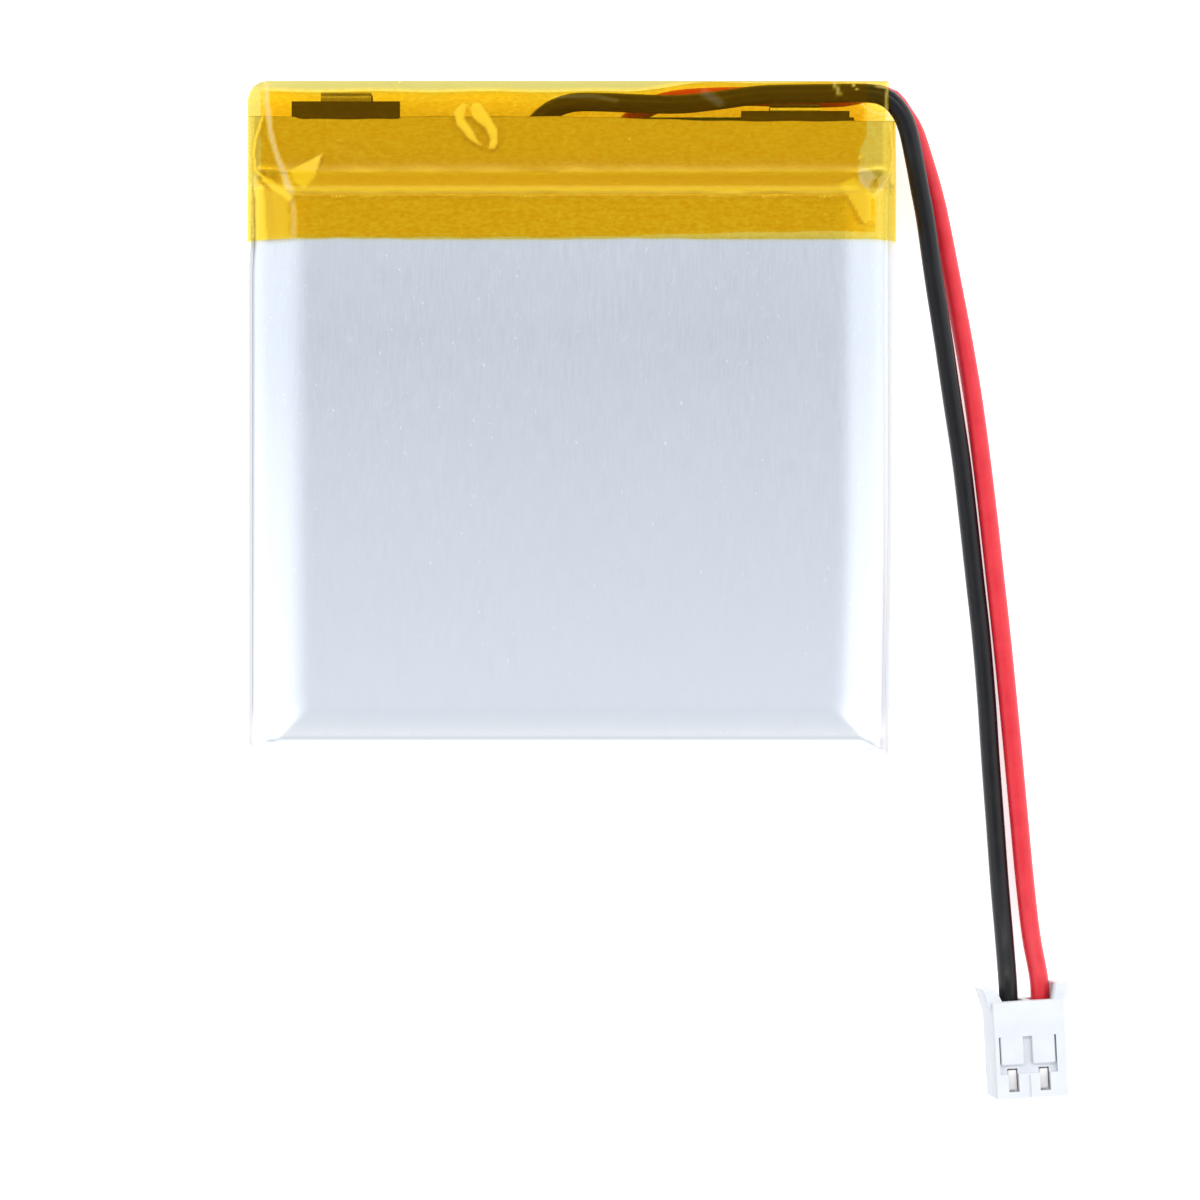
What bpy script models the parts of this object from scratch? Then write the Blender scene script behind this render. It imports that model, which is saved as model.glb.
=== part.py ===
"""A single lithium-polymer pouch cell with its protection board, amber tape, leads and plug.

Metres, +Z up. The cell lies on its back on z = 0: X is its width, +Y points to the terminal end
and Z is its thickness. The origin is under the middle of the cell's body.
"""

import math

import bmesh
import bpy
from mathutils import Euler, Matrix, Vector

MM = 0.001

# Driving dimensions, in millimetres.
SEAL_Z = 4.11           # mid-plane of the cell, where the two halves of the film meet
CUP_RISE = 3.845        # from the seal plane to the film's mid-surface on each broad face
CUP_FLAT = 16.03        # half width of the flat part of a broad face
CUP_SIDE = 3.6          # width of the rounded side beyond the flat part
FILM = 0.11             # laminate thickness
CUP_BOTTOM = -20.45     # folded end of the pouch
CUP_TOP = 13.7          # where the broad face starts to fall to the terrace
TERRACE_START = 15.1
TERRACE_END = 18.8      # cut edge of the film
TERRACE_RISE = 0.25     # the film's mid-surface above or below the seal plane on the terrace
BOTTOM_BEND = 1.6       # radius of each face into the folded end
EARS = (0.15, 0.55)     # how far the left and the right corner are drawn out past that end
EAR_LENGTH = 3.0        # stretch of the sides that the drawn-out corners take
FLANGE_TURN = 0.15      # bend radius where the side seal folds up
FLANGE_ANGLE = 20.0     # how far the folded seal reaches round the rounded side, in degrees
FLANGE_GAP = 0.16       # between the mid-surfaces of the seal's two layers

TAPE = 0.05
TAPE_FRONT_EDGE = 10.85
INNER_TAPE_EDGE = 11.2
TAPE_HALF = 20.36
TAPE_NOSE = 21.0        # how far the tapes reach past the cell's end, before their offset
TAPE_CORNER = 1.4       # radius of the outer tape's left corner, seen from above
INNER_TAPE_SPAN = (-19.3, 18.7)
SIDE_ANGLES = (90, 77, 65, 53, 36, 18, 0)
OUTER_TAPE_OFF = 0.18   # mid-surface of the outer tape, off what it covers
INNER_TAPE_OFF = 0.06
LEAD_EXIT_FROM = 18.9   # the tape is open on its right side from here to the cell's end

ROLL_LENGTH = 32.6
ROLL_START = -19.1
ROLL_HALF_WIDTH = 19.4
STRIP = 0.2             # thickness of each wound strip
STRIP_STEP = 0.248      # from one strip to the next
TURNS = 2.5
CORE_RADIUS = 0.3

TAB_WIDTH = 3.15
TAB = 0.1
TAB_X = {"negative": -14.0, "positive": 14.2}
TAB_REACH = {"negative": 20.3, "positive": 19.55}
SEALANT_END = {"negative": 19.75, "positive": 19.15}
SEALANT_WIDTH = 6.8

BOARD = (36.0, 3.5, 0.7)
BOARD_CENTRE = (0.0, 17.2, 1.65)

LEAD_RADIUS = 0.6
CONDUCTOR_RADIUS = 0.3

PLUG_CENTRE = (28.86, -39.6, 2.27)
PLUG_TURN = 3.0         # degrees about Z
PLUG_ROLL = 6.0         # degrees about its own length, resting on one edge
PLUG_SIZE = (4.8, 6.4, 3.8)
PLUG_EAR = (5.8, 0.9, 3.0)
PLUG_BEVEL = 0.12
PITCH = 2.0
CAVITY = (1.6, 1.9)


def clear_scene():
    for obj in list(bpy.data.objects):
        bpy.data.objects.remove(obj, do_unlink=True)


def new_collection(name):
    collection = bpy.data.collections.new(name)
    bpy.context.scene.collection.children.link(collection)
    return collection


def material(name, colour, roughness, metallic=0.0):
    made = bpy.data.materials.new(name)
    made.use_nodes = True
    shader = made.node_tree.nodes["Principled BSDF"]
    shader.inputs["Base Color"].default_value = (*colour, 1.0)
    shader.inputs["Roughness"].default_value = roughness
    shader.inputs["Metallic"].default_value = metallic
    return made


LOOKS = {
    "laminate": ((0.62, 0.66, 0.71), 0.35, 0.9),
    "amber_tape": ((0.80, 0.42, 0.02), 0.3, 0.0),
    "copper": ((0.80, 0.42, 0.25), 0.35, 1.0),
    "aluminium": ((0.80, 0.80, 0.80), 0.35, 1.0),
    "separator": ((0.90, 0.90, 0.88), 0.6, 0.0),
    "nickel": ((0.66, 0.64, 0.58), 0.3, 1.0),
    "sealant": ((0.05, 0.04, 0.03), 0.4, 0.0),
    "fish_paper": ((0.55, 0.50, 0.38), 0.8, 0.0),
    "board": ((0.02, 0.22, 0.08), 0.4, 0.0),
    "chip": ((0.02, 0.02, 0.02), 0.5, 0.0),
    "ceramic": ((0.45, 0.35, 0.25), 0.4, 0.0),
    "solder": ((0.75, 0.75, 0.75), 0.25, 1.0),
    "red_insulation": ((0.78, 0.05, 0.07), 0.35, 0.0),
    "black_insulation": ((0.03, 0.03, 0.035), 0.35, 0.0),
    "white_nylon": ((0.88, 0.89, 0.90), 0.4, 0.0),
}


def finish(obj, look):
    obj.data.materials.append(material(f"{obj.name}_{look}", *LOOKS[look]))
    PARTS.objects.link(obj)
    return obj


def mesh_object(name, mesh, look):
    obj = bpy.data.objects.new(name, mesh)
    mesh.shade_smooth()
    mesh.set_sharp_from_angle(angle=math.radians(35))
    return finish(obj, look)


def block_mesh(name, size, at=(0, 0, 0)):
    bm = bmesh.new()
    bmesh.ops.create_cube(bm, size=1.0)
    bmesh.ops.scale(bm, vec=Vector(size) * MM, verts=bm.verts)
    bmesh.ops.translate(bm, vec=Vector(at) * MM, verts=bm.verts)
    mesh = bpy.data.meshes.new(name)
    bm.to_mesh(mesh)
    bm.free()
    return mesh


def block(name, size, centre, look, bevel=0.0):
    obj = bpy.data.objects.new(name, block_mesh(name, size))
    obj.location = Vector(centre) * MM
    if bevel:
        round_edges(obj, bevel)
    return finish(obj, look)


def round_edges(obj, width):
    edge = obj.modifiers.new("edges", "BEVEL")
    edge.width = width * MM
    edge.segments = 2


def cutter(name, mesh, like=None):
    obj = bpy.data.objects.new(name, mesh)
    obj.hide_render = True
    obj.display_type = "WIRE"
    CUTTERS.objects.link(obj)
    if like:
        obj.location = like.location
        obj.rotation_euler = like.rotation_euler
    return obj


def boolean(obj, other, operation="DIFFERENCE"):
    cut = obj.modifiers.new(other.name, "BOOLEAN")
    cut.operation = operation
    cut.object = other


def grid_mesh(name, rows, dropped=lambda point: False):
    """A mesh over rows of points, leaving out the faces whose centre is dropped."""
    bm = bmesh.new()
    made = [[bm.verts.new(Vector(point) * MM) for point in row] for row in rows]
    for here, after in zip(made, made[1:]):
        for corners in zip(here, here[1:], after[1:], after):
            centre = sum((v.co for v in corners), Vector()) / 4 / MM
            if not dropped(centre):
                bm.faces.new(corners)
    bmesh.ops.remove_doubles(bm, verts=bm.verts, dist=1e-7)
    bmesh.ops.delete(bm, geom=[v for v in bm.verts if not v.link_faces], context="VERTS")
    bmesh.ops.recalc_face_normals(bm, faces=bm.faces)
    mesh = bpy.data.meshes.new(name)
    bm.to_mesh(mesh)
    bm.free()
    return mesh


def sheet(name, mesh, thickness, look):
    obj = mesh_object(name, mesh, look)
    shell = obj.modifiers.new("thickness", "SOLIDIFY")
    shell.thickness = thickness * MM
    shell.offset = 0.0
    return obj


def arc(centre, radius, start, end, steps):
    """Points on an arc in a plane, from one angle to another in degrees."""
    angles = [math.radians(start + (end - start) * i / steps) for i in range(steps + 1)]
    return [(centre[0] + radius * math.cos(a), centre[1] + radius * math.sin(a)) for a in angles]


# ---- The pouch film: one sheet, folded at the bottom, with a drawn cup in each half.


def cup_profile():
    """(y, height fraction) from the film's cut edge down to the folded end."""
    slope = CUP_TOP - TERRACE_START
    terrace = [(TERRACE_END, 0.0), (17.6, 0.0), (16.4, 0.0), (TERRACE_START + 0.2, 0.0)]
    wall = [(TERRACE_START + 0.05, 0.06), (CUP_TOP - 0.75 * slope, 0.22), (CUP_TOP - 0.3 * slope, 0.80)]
    crest = [(CUP_TOP - 0.12 * slope, 0.94), (CUP_TOP, 1.0), (TAPE_FRONT_EDGE, 1.0)]
    face = [(y, 1.0) for y in (6.0, 0.0, -6.0, -12.0, -17.0)]
    centre = (CUP_BOTTOM + BOTTOM_BEND, -BOTTOM_BEND)
    end = [(y, 1 + z / CUP_RISE) for y, z in arc(centre, BOTTOM_BEND, 90, 180, 5)]
    return terrace + wall + crest + face + end + [(CUP_BOTTOM, 0.25), (CUP_BOTTOM, 0.0)]


def flange_share(height):
    """The folded side seal stands full along the cup and is trimmed to almost nothing on the terrace."""
    return 1.0 if height > 0.9 else 0.04


def film_half(height, share, front):
    """(x, z) across half of the film, from the middle of the face to the seal's outer edge."""
    points = [(0.0, 90.0), (5.5, 90.0), (11.0, 90.0)]
    points += [(CUP_FLAT, angle) for angle in (90, 74, 58, 42, 27, 13, 0)]
    side = CUP_SIDE if front else CUP_SIDE + 2 * FLANGE_TURN + FLANGE_GAP
    across = []
    for x, angle in points:
        if x == CUP_FLAT:
            x += side * math.cos(math.radians(angle))
        share_of_rise = math.sin(math.radians(angle))
        lift = (CUP_RISE - TERRACE_RISE) * height * share_of_rise
        lift = lift + TERRACE_RISE if front else -lift - TERRACE_RISE * share_of_rise
        across.append((x, SEAL_Z + lift))
    turn = CUP_FLAT + CUP_SIDE + FLANGE_TURN
    outside = CUP_FLAT + CUP_SIDE + 2 * FLANGE_TURN + (0 if front else FLANGE_GAP)
    if front:
        across += arc((turn, SEAL_Z + TERRACE_RISE), FLANGE_TURN, 180, 360, 4)[1:]
    else:
        across += [(outside, SEAL_Z + 0.06 * i) for i in (1, 2, 3, 4)]
    for i in (1, 2, 3, 4):
        angle = math.radians(FLANGE_ANGLE * share * i / 4)
        x = outside - (outside - CUP_FLAT) * (1 - math.cos(angle))
        across.append((x, SEAL_Z + TERRACE_RISE + CUP_RISE * math.sin(angle)))
    return across


def drawn_out(x, y, reach):
    """How far a point near the folded end is moved past it: all of the reach at the corner itself."""
    across = min(1.0, max(0.0, (x - CUP_FLAT) / CUP_SIDE))
    along = min(1.0, max(0.0, 1 - (y - CUP_BOTTOM) / EAR_LENGTH))
    return reach * across ** 2 * along ** 2


def film_row(y, half):
    """One full row: the left half mirrored, then the right half, with the corners drawn out."""
    left = [(-x, y - drawn_out(x, y, EARS[0]), z) for x, z in half]
    right = [(x, y - drawn_out(x, y, EARS[1]), z) for x, z in half]
    return left[:0:-1] + right


def pouch_film():
    profile = cup_profile()
    front = []
    back = []
    for y, height in profile:
        share = flange_share(height) if y > 0 else 1.0
        front.append(film_row(y, film_half(height, share, True)))
        back.append(film_row(y, film_half(height, share, False)))
    middle = [((a[0] + b[0]) / 2, (a[1] + b[1]) / 2) for a, b in zip(
        film_half(0.0, 1.0, True), film_half(0.0, 1.0, False))]
    fold = film_row(CUP_BOTTOM - 0.1, middle)
    sheet("pouch_film", grid_mesh("pouch_film", front + [fold] + back[::-1]), FILM, "laminate")


# ---- The wound roll: four strips, each a flat-wound spiral, cut as one cross-section each.


def winding_line(start_radius):
    """The middle of one strip, from the core outward, in (x, z) about the roll's centre."""
    centre = ROLL_HALF_WIDTH - (CORE_RADIUS + (3 + 4 * TURNS) * STRIP_STEP + STRIP / 2)
    steps = 9
    points = []
    for half_turn in range(int(2 * TURNS)):
        side = 1 if half_turn % 2 == 0 else -1
        for i in range(steps + 1):
            grown = start_radius + 4 * STRIP_STEP * (half_turn + i / steps) / 2
            angle = math.radians(-90 + 180 * i / steps)
            points.append((side * (centre + grown * math.cos(angle)), side * grown * math.sin(angle)))
    last = points[-1]
    points.append((last[0] - 9.0 + start_radius * 4, last[1]))
    return points


def strip_outline(line):
    """Both edges of a strip of even thickness along its middle line, as one closed outline."""
    sides = ([], [])
    for i, here in enumerate(line):
        before = Vector(line[max(i - 1, 0)])
        after = Vector(line[min(i + 1, len(line) - 1)])
        along = (after - before).normalized()
        across = Vector((-along.y, along.x)) * STRIP / 2
        sides[0].append(Vector(here) + across)
        sides[1].append(Vector(here) - across)
    return sides[0] + sides[1][::-1]


def wound_strips():
    looks = {
        "separator_inner": "separator",
        "anode_strip": "copper",
        "separator_outer": "separator",
        "cathode_strip": "aluminium",
    }
    for i, (name, look) in enumerate(looks.items()):
        outline = strip_outline(winding_line(CORE_RADIUS + i * STRIP_STEP))
        bm = bmesh.new()
        face = bm.faces.new(
            [bm.verts.new(Vector((p.x, ROLL_START, SEAL_Z + p.y)) * MM) for p in outline])
        grown = bmesh.ops.extrude_face_region(bm, geom=[face])
        moved = [v for v in grown["geom"] if isinstance(v, bmesh.types.BMVert)]
        bmesh.ops.translate(bm, vec=Vector((0, ROLL_LENGTH * MM, 0)), verts=moved)
        bmesh.ops.triangulate(bm, faces=[f for f in bm.faces if len(f.verts) > 4])
        bmesh.ops.recalc_face_normals(bm, faces=bm.faces)
        mesh = bpy.data.meshes.new(name)
        bm.to_mesh(mesh)
        bm.free()
        mesh_object(name, mesh, look)


def winding_tape():
    radius = CORE_RADIUS + (3 + 4 * TURNS) * STRIP_STEP + STRIP / 2
    block("winding_tape", (14.0, 24.0, 0.05), (-2.0, -3.0, SEAL_Z + radius + 0.07), "amber_tape")


# ---- Tabs, their sealant and the strips that carry them to the board.


def tab_path(reach):
    bend = 0.35
    top = SEAL_Z
    foot = 1.03
    path = [(-6.0, top), (13.0, top), (TERRACE_END, top)]
    path += arc((reach - bend, top - bend), bend, 90, 0, 4)
    path += arc((reach - bend, foot + bend), bend, 0, -90, 4)
    return path + [(16.3, foot)]


def tabs():
    for pole, x in TAB_X.items():
        look = "aluminium" if pole == "positive" else "nickel"
        rows = [[(x - TAB_WIDTH / 2, y, z), (x, y, z), (x + TAB_WIDTH / 2, y, z)]
                for y, z in tab_path(TAB_REACH[pole])]
        sheet(f"{pole}_tab", grid_mesh(f"{pole}_tab", rows), TAB, look)

        start = 14.4
        length = SEALANT_END[pole] - start
        centre = (x, start + length / 2, SEAL_Z)
        sealant = block(f"{pole}_tab_sealant", (SEALANT_WIDTH, length, 0.3), centre, "sealant")
        slot = block_mesh(f"{pole}_slot", (TAB_WIDTH + 0.1, length + 2, TAB + 0.06))
        boolean(sealant, cutter(f"{pole}_slot", slot, sealant))

        block(f"{pole}_nickel_strip", (3.6, 2.4, 0.14), (x, 17.2, 1.19), "nickel", 0.03)


# ---- The protection board and its parts.


def electronics():
    block("terrace_insulator", (36.0, 2.2, 0.15), (0.0, 16.6, 3.5), "fish_paper")
    block("circuit_board", BOARD, BOARD_CENTRE, "board", 0.05)
    top = BOARD_CENTRE[2] + BOARD[2] / 2 + 0.03
    parts = {
        "mosfet_pair": ((4.4, 2.9, 1.0), (-9.6, 17.1), "chip"),
        "protection_ic": ((2.9, 1.6, 1.0), (9.0, 17.0), "chip"),
        "filter_resistor": ((1.0, 0.5, 0.35), (11.8, 16.4), "ceramic"),
        "sense_resistor": ((1.6, 0.8, 0.45), (13.6, 17.4), "ceramic"),
        "filter_capacitor": ((1.0, 0.5, 0.5), (11.8, 17.8), "ceramic"),
    }
    for name, (size, place, look) in parts.items():
        block(name, size, (*place, top + size[2] / 2), look, 0.05)


# ---- Leads.


def smooth_path(points, spacing):
    """Points about a spacing apart on a Catmull-Rom curve through the given ones."""
    ends = [2 * Vector(points[0]) - Vector(points[1])]
    ends += [Vector(p) for p in points]
    ends += [2 * Vector(points[-1]) - Vector(points[-2])]
    path = []
    for a, b, c, d in zip(ends, ends[1:], ends[2:], ends[3:]):
        steps = max(1, round((c - b).length / spacing))
        for i in range(steps):
            t = i / steps
            path.append(0.5 * (2 * b + t * (c - a) + t * t * (2 * a - 5 * b + 4 * c - d)
                               + t ** 3 * (3 * b - a - 3 * c + d)))
    return path + [ends[-2]]


def tube(name, points, radius, look, spacing=1.8):
    curve = bpy.data.curves.new(name, "CURVE")
    curve.dimensions = "3D"
    curve.bevel_depth = radius * MM
    curve.bevel_resolution = 2
    curve.use_fill_caps = True
    path = smooth_path(points, spacing)
    spline = curve.splines.new("POLY")
    spline.points.add(len(path) - 1)
    for place, point in zip(spline.points, path):
        place.co = (*(point * MM), 1.0)
    return finish(bpy.data.objects.new(name, curve), look)


def plug_matrix():
    turn = Matrix.Rotation(math.radians(PLUG_TURN), 4, "Z")
    roll = Matrix.Rotation(math.radians(PLUG_ROLL), 4, "Y")
    return Matrix.Translation(Vector(PLUG_CENTRE)) @ turn @ roll


def in_plug(x, y, z):
    return tuple(plug_matrix() @ Vector((x, y, z)))


# From the tape's edge at the cell's right corner, down beside the cell, along the floor to the plug.
BLACK_ROUTE = [
    (19.3, 20.33, 4.4), (20.2, 20.0, 4.4), (20.92, 19.15, 4.33), (21.27, 17.96, 4.2),
    (21.69, 16.1, 3.9), (22.06, 14.24, 3.55), (22.43, 12.38, 3.2), (23.01, 8.65, 2.45),
    (23.64, 4.89, 1.8), (24.23, 1.11, 1.25), (24.83, -2.67, 0.85), (25.29, -6.46, 0.68),
    (25.71, -10.26, 0.63), (26.13, -14.07, 0.62), (26.45, -17.87, 0.62), (26.70, -21.67, 0.62),
    (26.98, -25.48, 0.64), (27.24, -29.28, 0.85), (27.50, -32.80, 1.45),
]
RED_ROUTE = [
    (19.3, 20.33, 3.15), (20.35, 20.0, 3.15), (21.05, 19.1, 3.05), (21.75, 17.96, 2.85),
    (22.41, 16.07, 2.5), (22.95, 14.33, 2.15), (23.42, 12.46, 1.8), (24.20, 8.71, 1.2),
    (24.95, 4.93, 0.85), (25.6, 1.14, 0.68), (26.12, -2.66, 0.62), (26.58, -6.46, 0.62),
    (27.0, -10.26, 0.62), (27.42, -14.07, 0.62), (27.8, -17.87, 0.62), (28.16, -21.67, 0.62),
    (28.51, -25.48, 0.62), (28.85, -29.28, 0.80), (29.22, -32.80, 1.35),
]
BLACK_TAPED = [
    (-3.6, 16.9, 2.72), (-2.9, 17.7, 2.74), (-2.1, 18.5, 2.82), (-1.2, 19.25, 3.1),
    (0.2, 19.7, 3.8), (2.2, 19.68, 4.35), (4.6, 19.58, 4.45), (7.0, 19.55, 4.45),
    (9.4, 19.85, 4.42), (12.0, 20.25, 4.4), (15.0, 20.33, 4.4), (19.1, 20.35, 4.4),
]
RED_TAPED = [
    (2.4, 16.9, 2.72), (3.0, 17.7, 2.72), (3.8, 18.6, 2.76), (4.8, 19.4, 2.9),
    (6.4, 19.9, 3.1), (8.6, 20.1, 3.15), (12.0, 20.33, 3.15), (19.1, 20.35, 3.15),
]
LEADS = {"black": (BLACK_ROUTE, BLACK_TAPED, -PITCH / 2), "red": (RED_ROUTE, RED_TAPED, PITCH / 2)}
LEAD_END = 1.05         # how far from the plug's middle, towards the cell, the insulation ends


def leads():
    for colour, (route, taped, across) in LEADS.items():
        look = f"{colour}_insulation"
        into_plug = [in_plug(across, 4.2, 0), in_plug(across, 2.8, 0), in_plug(across, LEAD_END, 0)]
        tube(f"{colour}_lead", route + into_plug, LEAD_RADIUS, look)
        tube(f"{colour}_lead_under_tape", taped, LEAD_RADIUS, look)

        heading = (Vector(taped[0]) - Vector(taped[1])).normalized()
        start = Vector(taped[0]) + heading * 0.05
        bare = [start, start + heading * 0.45]
        tube(f"{colour}_conductor_at_board", bare, CONDUCTOR_RADIUS, "solder")
        bare = [in_plug(across, LEAD_END - 0.05, 0), in_plug(across, LEAD_END - 1.6, 0)]
        tube(f"{colour}_conductor_at_plug", bare, CONDUCTOR_RADIUS, "solder")
        solder_joint(colour, start + heading * 0.55)


def solder_joint(colour, at):
    """A low dome of solder on the board, where the bare conductor ends."""
    bm = bmesh.new()
    bmesh.ops.create_uvsphere(bm, u_segments=14, v_segments=8, radius=1.0)
    bmesh.ops.scale(bm, vec=Vector((0.75, 0.5, 0.8)) * MM, verts=bm.verts)
    geometry = bm.verts[:] + bm.edges[:] + bm.faces[:]
    bmesh.ops.bisect_plane(bm, geom=geometry, plane_co=(0, 0, 0), plane_no=(0, 0, -1), clear_outer=True)
    bmesh.ops.holes_fill(bm, edges=[e for e in bm.edges if e.is_boundary], sides=0)
    bmesh.ops.recalc_face_normals(bm, faces=bm.faces)
    mesh = bpy.data.meshes.new(f"{colour}_solder_joint")
    bm.to_mesh(mesh)
    bm.free()
    obj = mesh_object(f"{colour}_solder_joint", mesh, "solder")
    top = BOARD_CENTRE[2] + BOARD[2] / 2 + 0.03
    obj.location = Vector((at.x, at.y - 0.45, top)) * MM


# ---- The tapes.


def tape_rows(off, section):
    """Rows over the front and then the back of a tape, at a distance off the pieces beneath."""
    profile = tape_profile(off)
    front = [section(y, up, side) for y, up, down, side in profile]
    back = [section(y, -down, side) for y, up, down, side in profile]
    return front + back[-2::-1]


def tape_profile(off):
    """(y, height over the seal plane, depth under it, side radius) along the cell."""
    rise = CUP_RISE + FILM / 2 + off
    return [
        (TAPE_FRONT_EDGE, rise, rise, 4.32),
        (12.4, rise, rise, 4.32),
        (CUP_TOP + off, rise, rise, 4.3),
        (CUP_TOP + 0.35 + off, rise - 0.25, rise - 0.15, 3.8),
        (14.45 + off, 2.6, 3.55 + off, 3.1),
        (14.95 + off, 1.15, 3.3 + off, 2.4),
        (15.35 + off, 0.7 + off, 3.20 + off, 1.8),
        (17.0, 0.55 + off, 3.20 + off, 1.0),
        (18.7, 0.6 + off, 3.20 + off, 0.8),
        (19.5, 0.95 + off, 3.20 + off, 0.35),
        (19.9, 1.0 + off, 3.18 + off, 0.35),
        (20.4, 1.0 + off, 3.05 + off, 0.35),
        (20.75 + 0.7 * off, 0.93 + off, 2.6 + off, 0.35),
        (TAPE_NOSE - 0.05 + off, 0.6, 1.6, 0.5),
        (TAPE_NOSE + off, 0.0, 0.0, 0.8),
    ]


def lead_exit(point):
    """The tape leaves the end of its right side open for the leads."""
    return point.x > TAPE_HALF - 0.35 and point.y > LEAD_EXIT_FROM


def outer_tape():
    """Right across the cell and round its sides, with a rounded left corner."""
    corner_start = TAPE_NOSE + OUTER_TAPE_OFF - TAPE_CORNER

    def section(y, height, side):
        flat = TAPE_HALF - side
        half = [(flat * share, 1.0) for share in (0.0, 0.35, 0.7)]
        half += [(flat + side * math.cos(a), math.sin(a)) for a in map(math.radians, SIDE_ANGLES)]
        along = min(TAPE_CORNER, max(0.0, y - corner_start))
        left_limit = TAPE_CORNER - TAPE_HALF - math.sqrt(TAPE_CORNER ** 2 - along ** 2)
        full = [(max(-x, left_limit), share) for x, share in half[:0:-1]] + half
        return [(x, y, SEAL_Z + height * share) for x, share in full]

    rows = tape_rows(OUTER_TAPE_OFF, section)
    sheet("outer_tape", grid_mesh("outer_tape", rows, lead_exit), TAPE, "amber_tape")


def inner_tape():
    """A closer, shorter strip, with straight edges part of the way down the rounded sides."""
    columns = [INNER_TAPE_SPAN[0], -18.7, -17.95, -17.0, -16.04, -10.0, -3.0]
    columns += [3.0, 10.0, 16.04, 17.0, 17.95, INNER_TAPE_SPAN[1]]

    def section(y, height, side):
        flat = TAPE_HALF - side
        side += INNER_TAPE_OFF - OUTER_TAPE_OFF
        beyond = [max(0.0, abs(x) - flat) / side for x in columns]
        return [(x, y, SEAL_Z + height * math.sqrt(1 - b ** 2)) for x, b in zip(columns, beyond)]

    rows = tape_rows(INNER_TAPE_OFF, section)
    for row in (rows[0], rows[-1]):
        row[:] = [(x, INNER_TAPE_EDGE, z) for x, y, z in row]
    sheet("inner_tape", grid_mesh("inner_tape", rows), TAPE, "amber_tape")


# ---- The plug and its crimp terminals.


def place_on_plug(obj):
    matrix = plug_matrix()
    obj.location = matrix.translation * MM
    obj.rotation_euler = matrix.to_euler()
    return obj


def plug_housing():
    """A moulded box with a cavity for each terminal, windows, latch tongues and two side ears."""
    housing = bpy.data.objects.new("plug_housing", block_mesh("plug_housing", PLUG_SIZE))
    place_on_plug(finish(housing, "white_nylon"))
    ear_y = PLUG_SIZE[1] / 2 - PLUG_EAR[1] / 2 + 0.35
    ears = cutter("ear_bar", block_mesh("ear_bar", PLUG_EAR, (0, ear_y, -0.2)), housing)
    round_edges(housing, PLUG_BEVEL)
    round_edges(ears, PLUG_BEVEL)
    boolean(housing, ears, "UNION")
    for side in (-1, 1):
        x = side * PITCH / 2
        name = f"cavity_{'left' if side < 0 else 'right'}"
        through = block_mesh(name, (CAVITY[0], PLUG_SIZE[1] + 4, CAVITY[1]), (x, 0, 0))
        boolean(housing, cutter(name, through, housing))
        window = block_mesh(f"{name}_window", (1.2, 0.65, 1.6), (x, -1.3, PLUG_SIZE[2] / 2))
        boolean(housing, cutter(f"{name}_window", window, housing))
        slot = block_mesh(f"{name}_slot", (0.6, 1.3, 1.6), (x, -2.3, PLUG_SIZE[2] / 2))
        boolean(housing, cutter(f"{name}_slot", slot, housing))
        for edge_side in (-1, 1):
            place = (x + edge_side * 0.72, -0.1, PLUG_SIZE[2] / 2)
            relief = block_mesh(f"{name}_relief", (0.12, 1.8, 0.9), place)
            boolean(housing, cutter(f"{name}_relief_{edge_side + 1}", relief, housing))


def terminal(colour, across):
    """A crimp terminal: an open contact box, a neck, and a barrel round the conductor."""
    name = f"{colour}_crimp_terminal"
    body = bpy.data.objects.new(name, block_mesh(name, (1.36, 2.6, 1.6), (across, -1.85, 0)))
    place_on_plug(finish(body, "nickel"))
    barrel = block_mesh(f"{name}_barrel", (1.1, 2.1, 1.0), (across, 0.0, 0))
    boolean(body, cutter(f"{name}_barrel", barrel, body), "UNION")
    mouth = block_mesh(f"{name}_mouth", (1.0, 3.0, 1.2), (across, -2.35, 0))
    boolean(body, cutter(f"{name}_mouth", mouth, body))
    hole = block_mesh(f"{name}_hole", (0.66, 2.2, 0.66), (across, 0.3, 0))
    boolean(body, cutter(f"{name}_hole", hole, body))


clear_scene()
PARTS = new_collection("pouch_battery_cell")
CUTTERS = new_collection("cutters")
pouch_film()
wound_strips()
winding_tape()
tabs()
electronics()
leads()
inner_tape()
outer_tape()
plug_housing()
for lead_colour, lead_places in LEADS.items():
    terminal(lead_colour, lead_places[2])
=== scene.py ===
"""Looks of the pouch battery cell: film, amber tape, leads and plug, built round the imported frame."""

import math

import bmesh
import bpy
from mathutils import Matrix, Vector, noise


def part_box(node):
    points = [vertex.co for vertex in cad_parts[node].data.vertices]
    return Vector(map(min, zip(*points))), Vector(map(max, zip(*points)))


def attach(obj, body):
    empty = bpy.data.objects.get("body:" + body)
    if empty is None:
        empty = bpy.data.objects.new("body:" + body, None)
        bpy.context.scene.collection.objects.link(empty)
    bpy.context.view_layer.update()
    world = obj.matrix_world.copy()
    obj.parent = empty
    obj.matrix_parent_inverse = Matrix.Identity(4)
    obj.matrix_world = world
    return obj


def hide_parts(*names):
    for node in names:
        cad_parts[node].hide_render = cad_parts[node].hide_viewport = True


MM = 0.001

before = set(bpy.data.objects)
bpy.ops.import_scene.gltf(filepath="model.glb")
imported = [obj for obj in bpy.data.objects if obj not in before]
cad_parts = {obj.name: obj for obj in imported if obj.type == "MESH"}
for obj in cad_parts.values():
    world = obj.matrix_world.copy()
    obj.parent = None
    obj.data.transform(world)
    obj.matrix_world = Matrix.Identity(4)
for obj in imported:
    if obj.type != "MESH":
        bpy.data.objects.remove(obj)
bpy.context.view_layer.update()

# ---- Driving dimensions, in millimetres, worked out from the frame.


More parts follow.
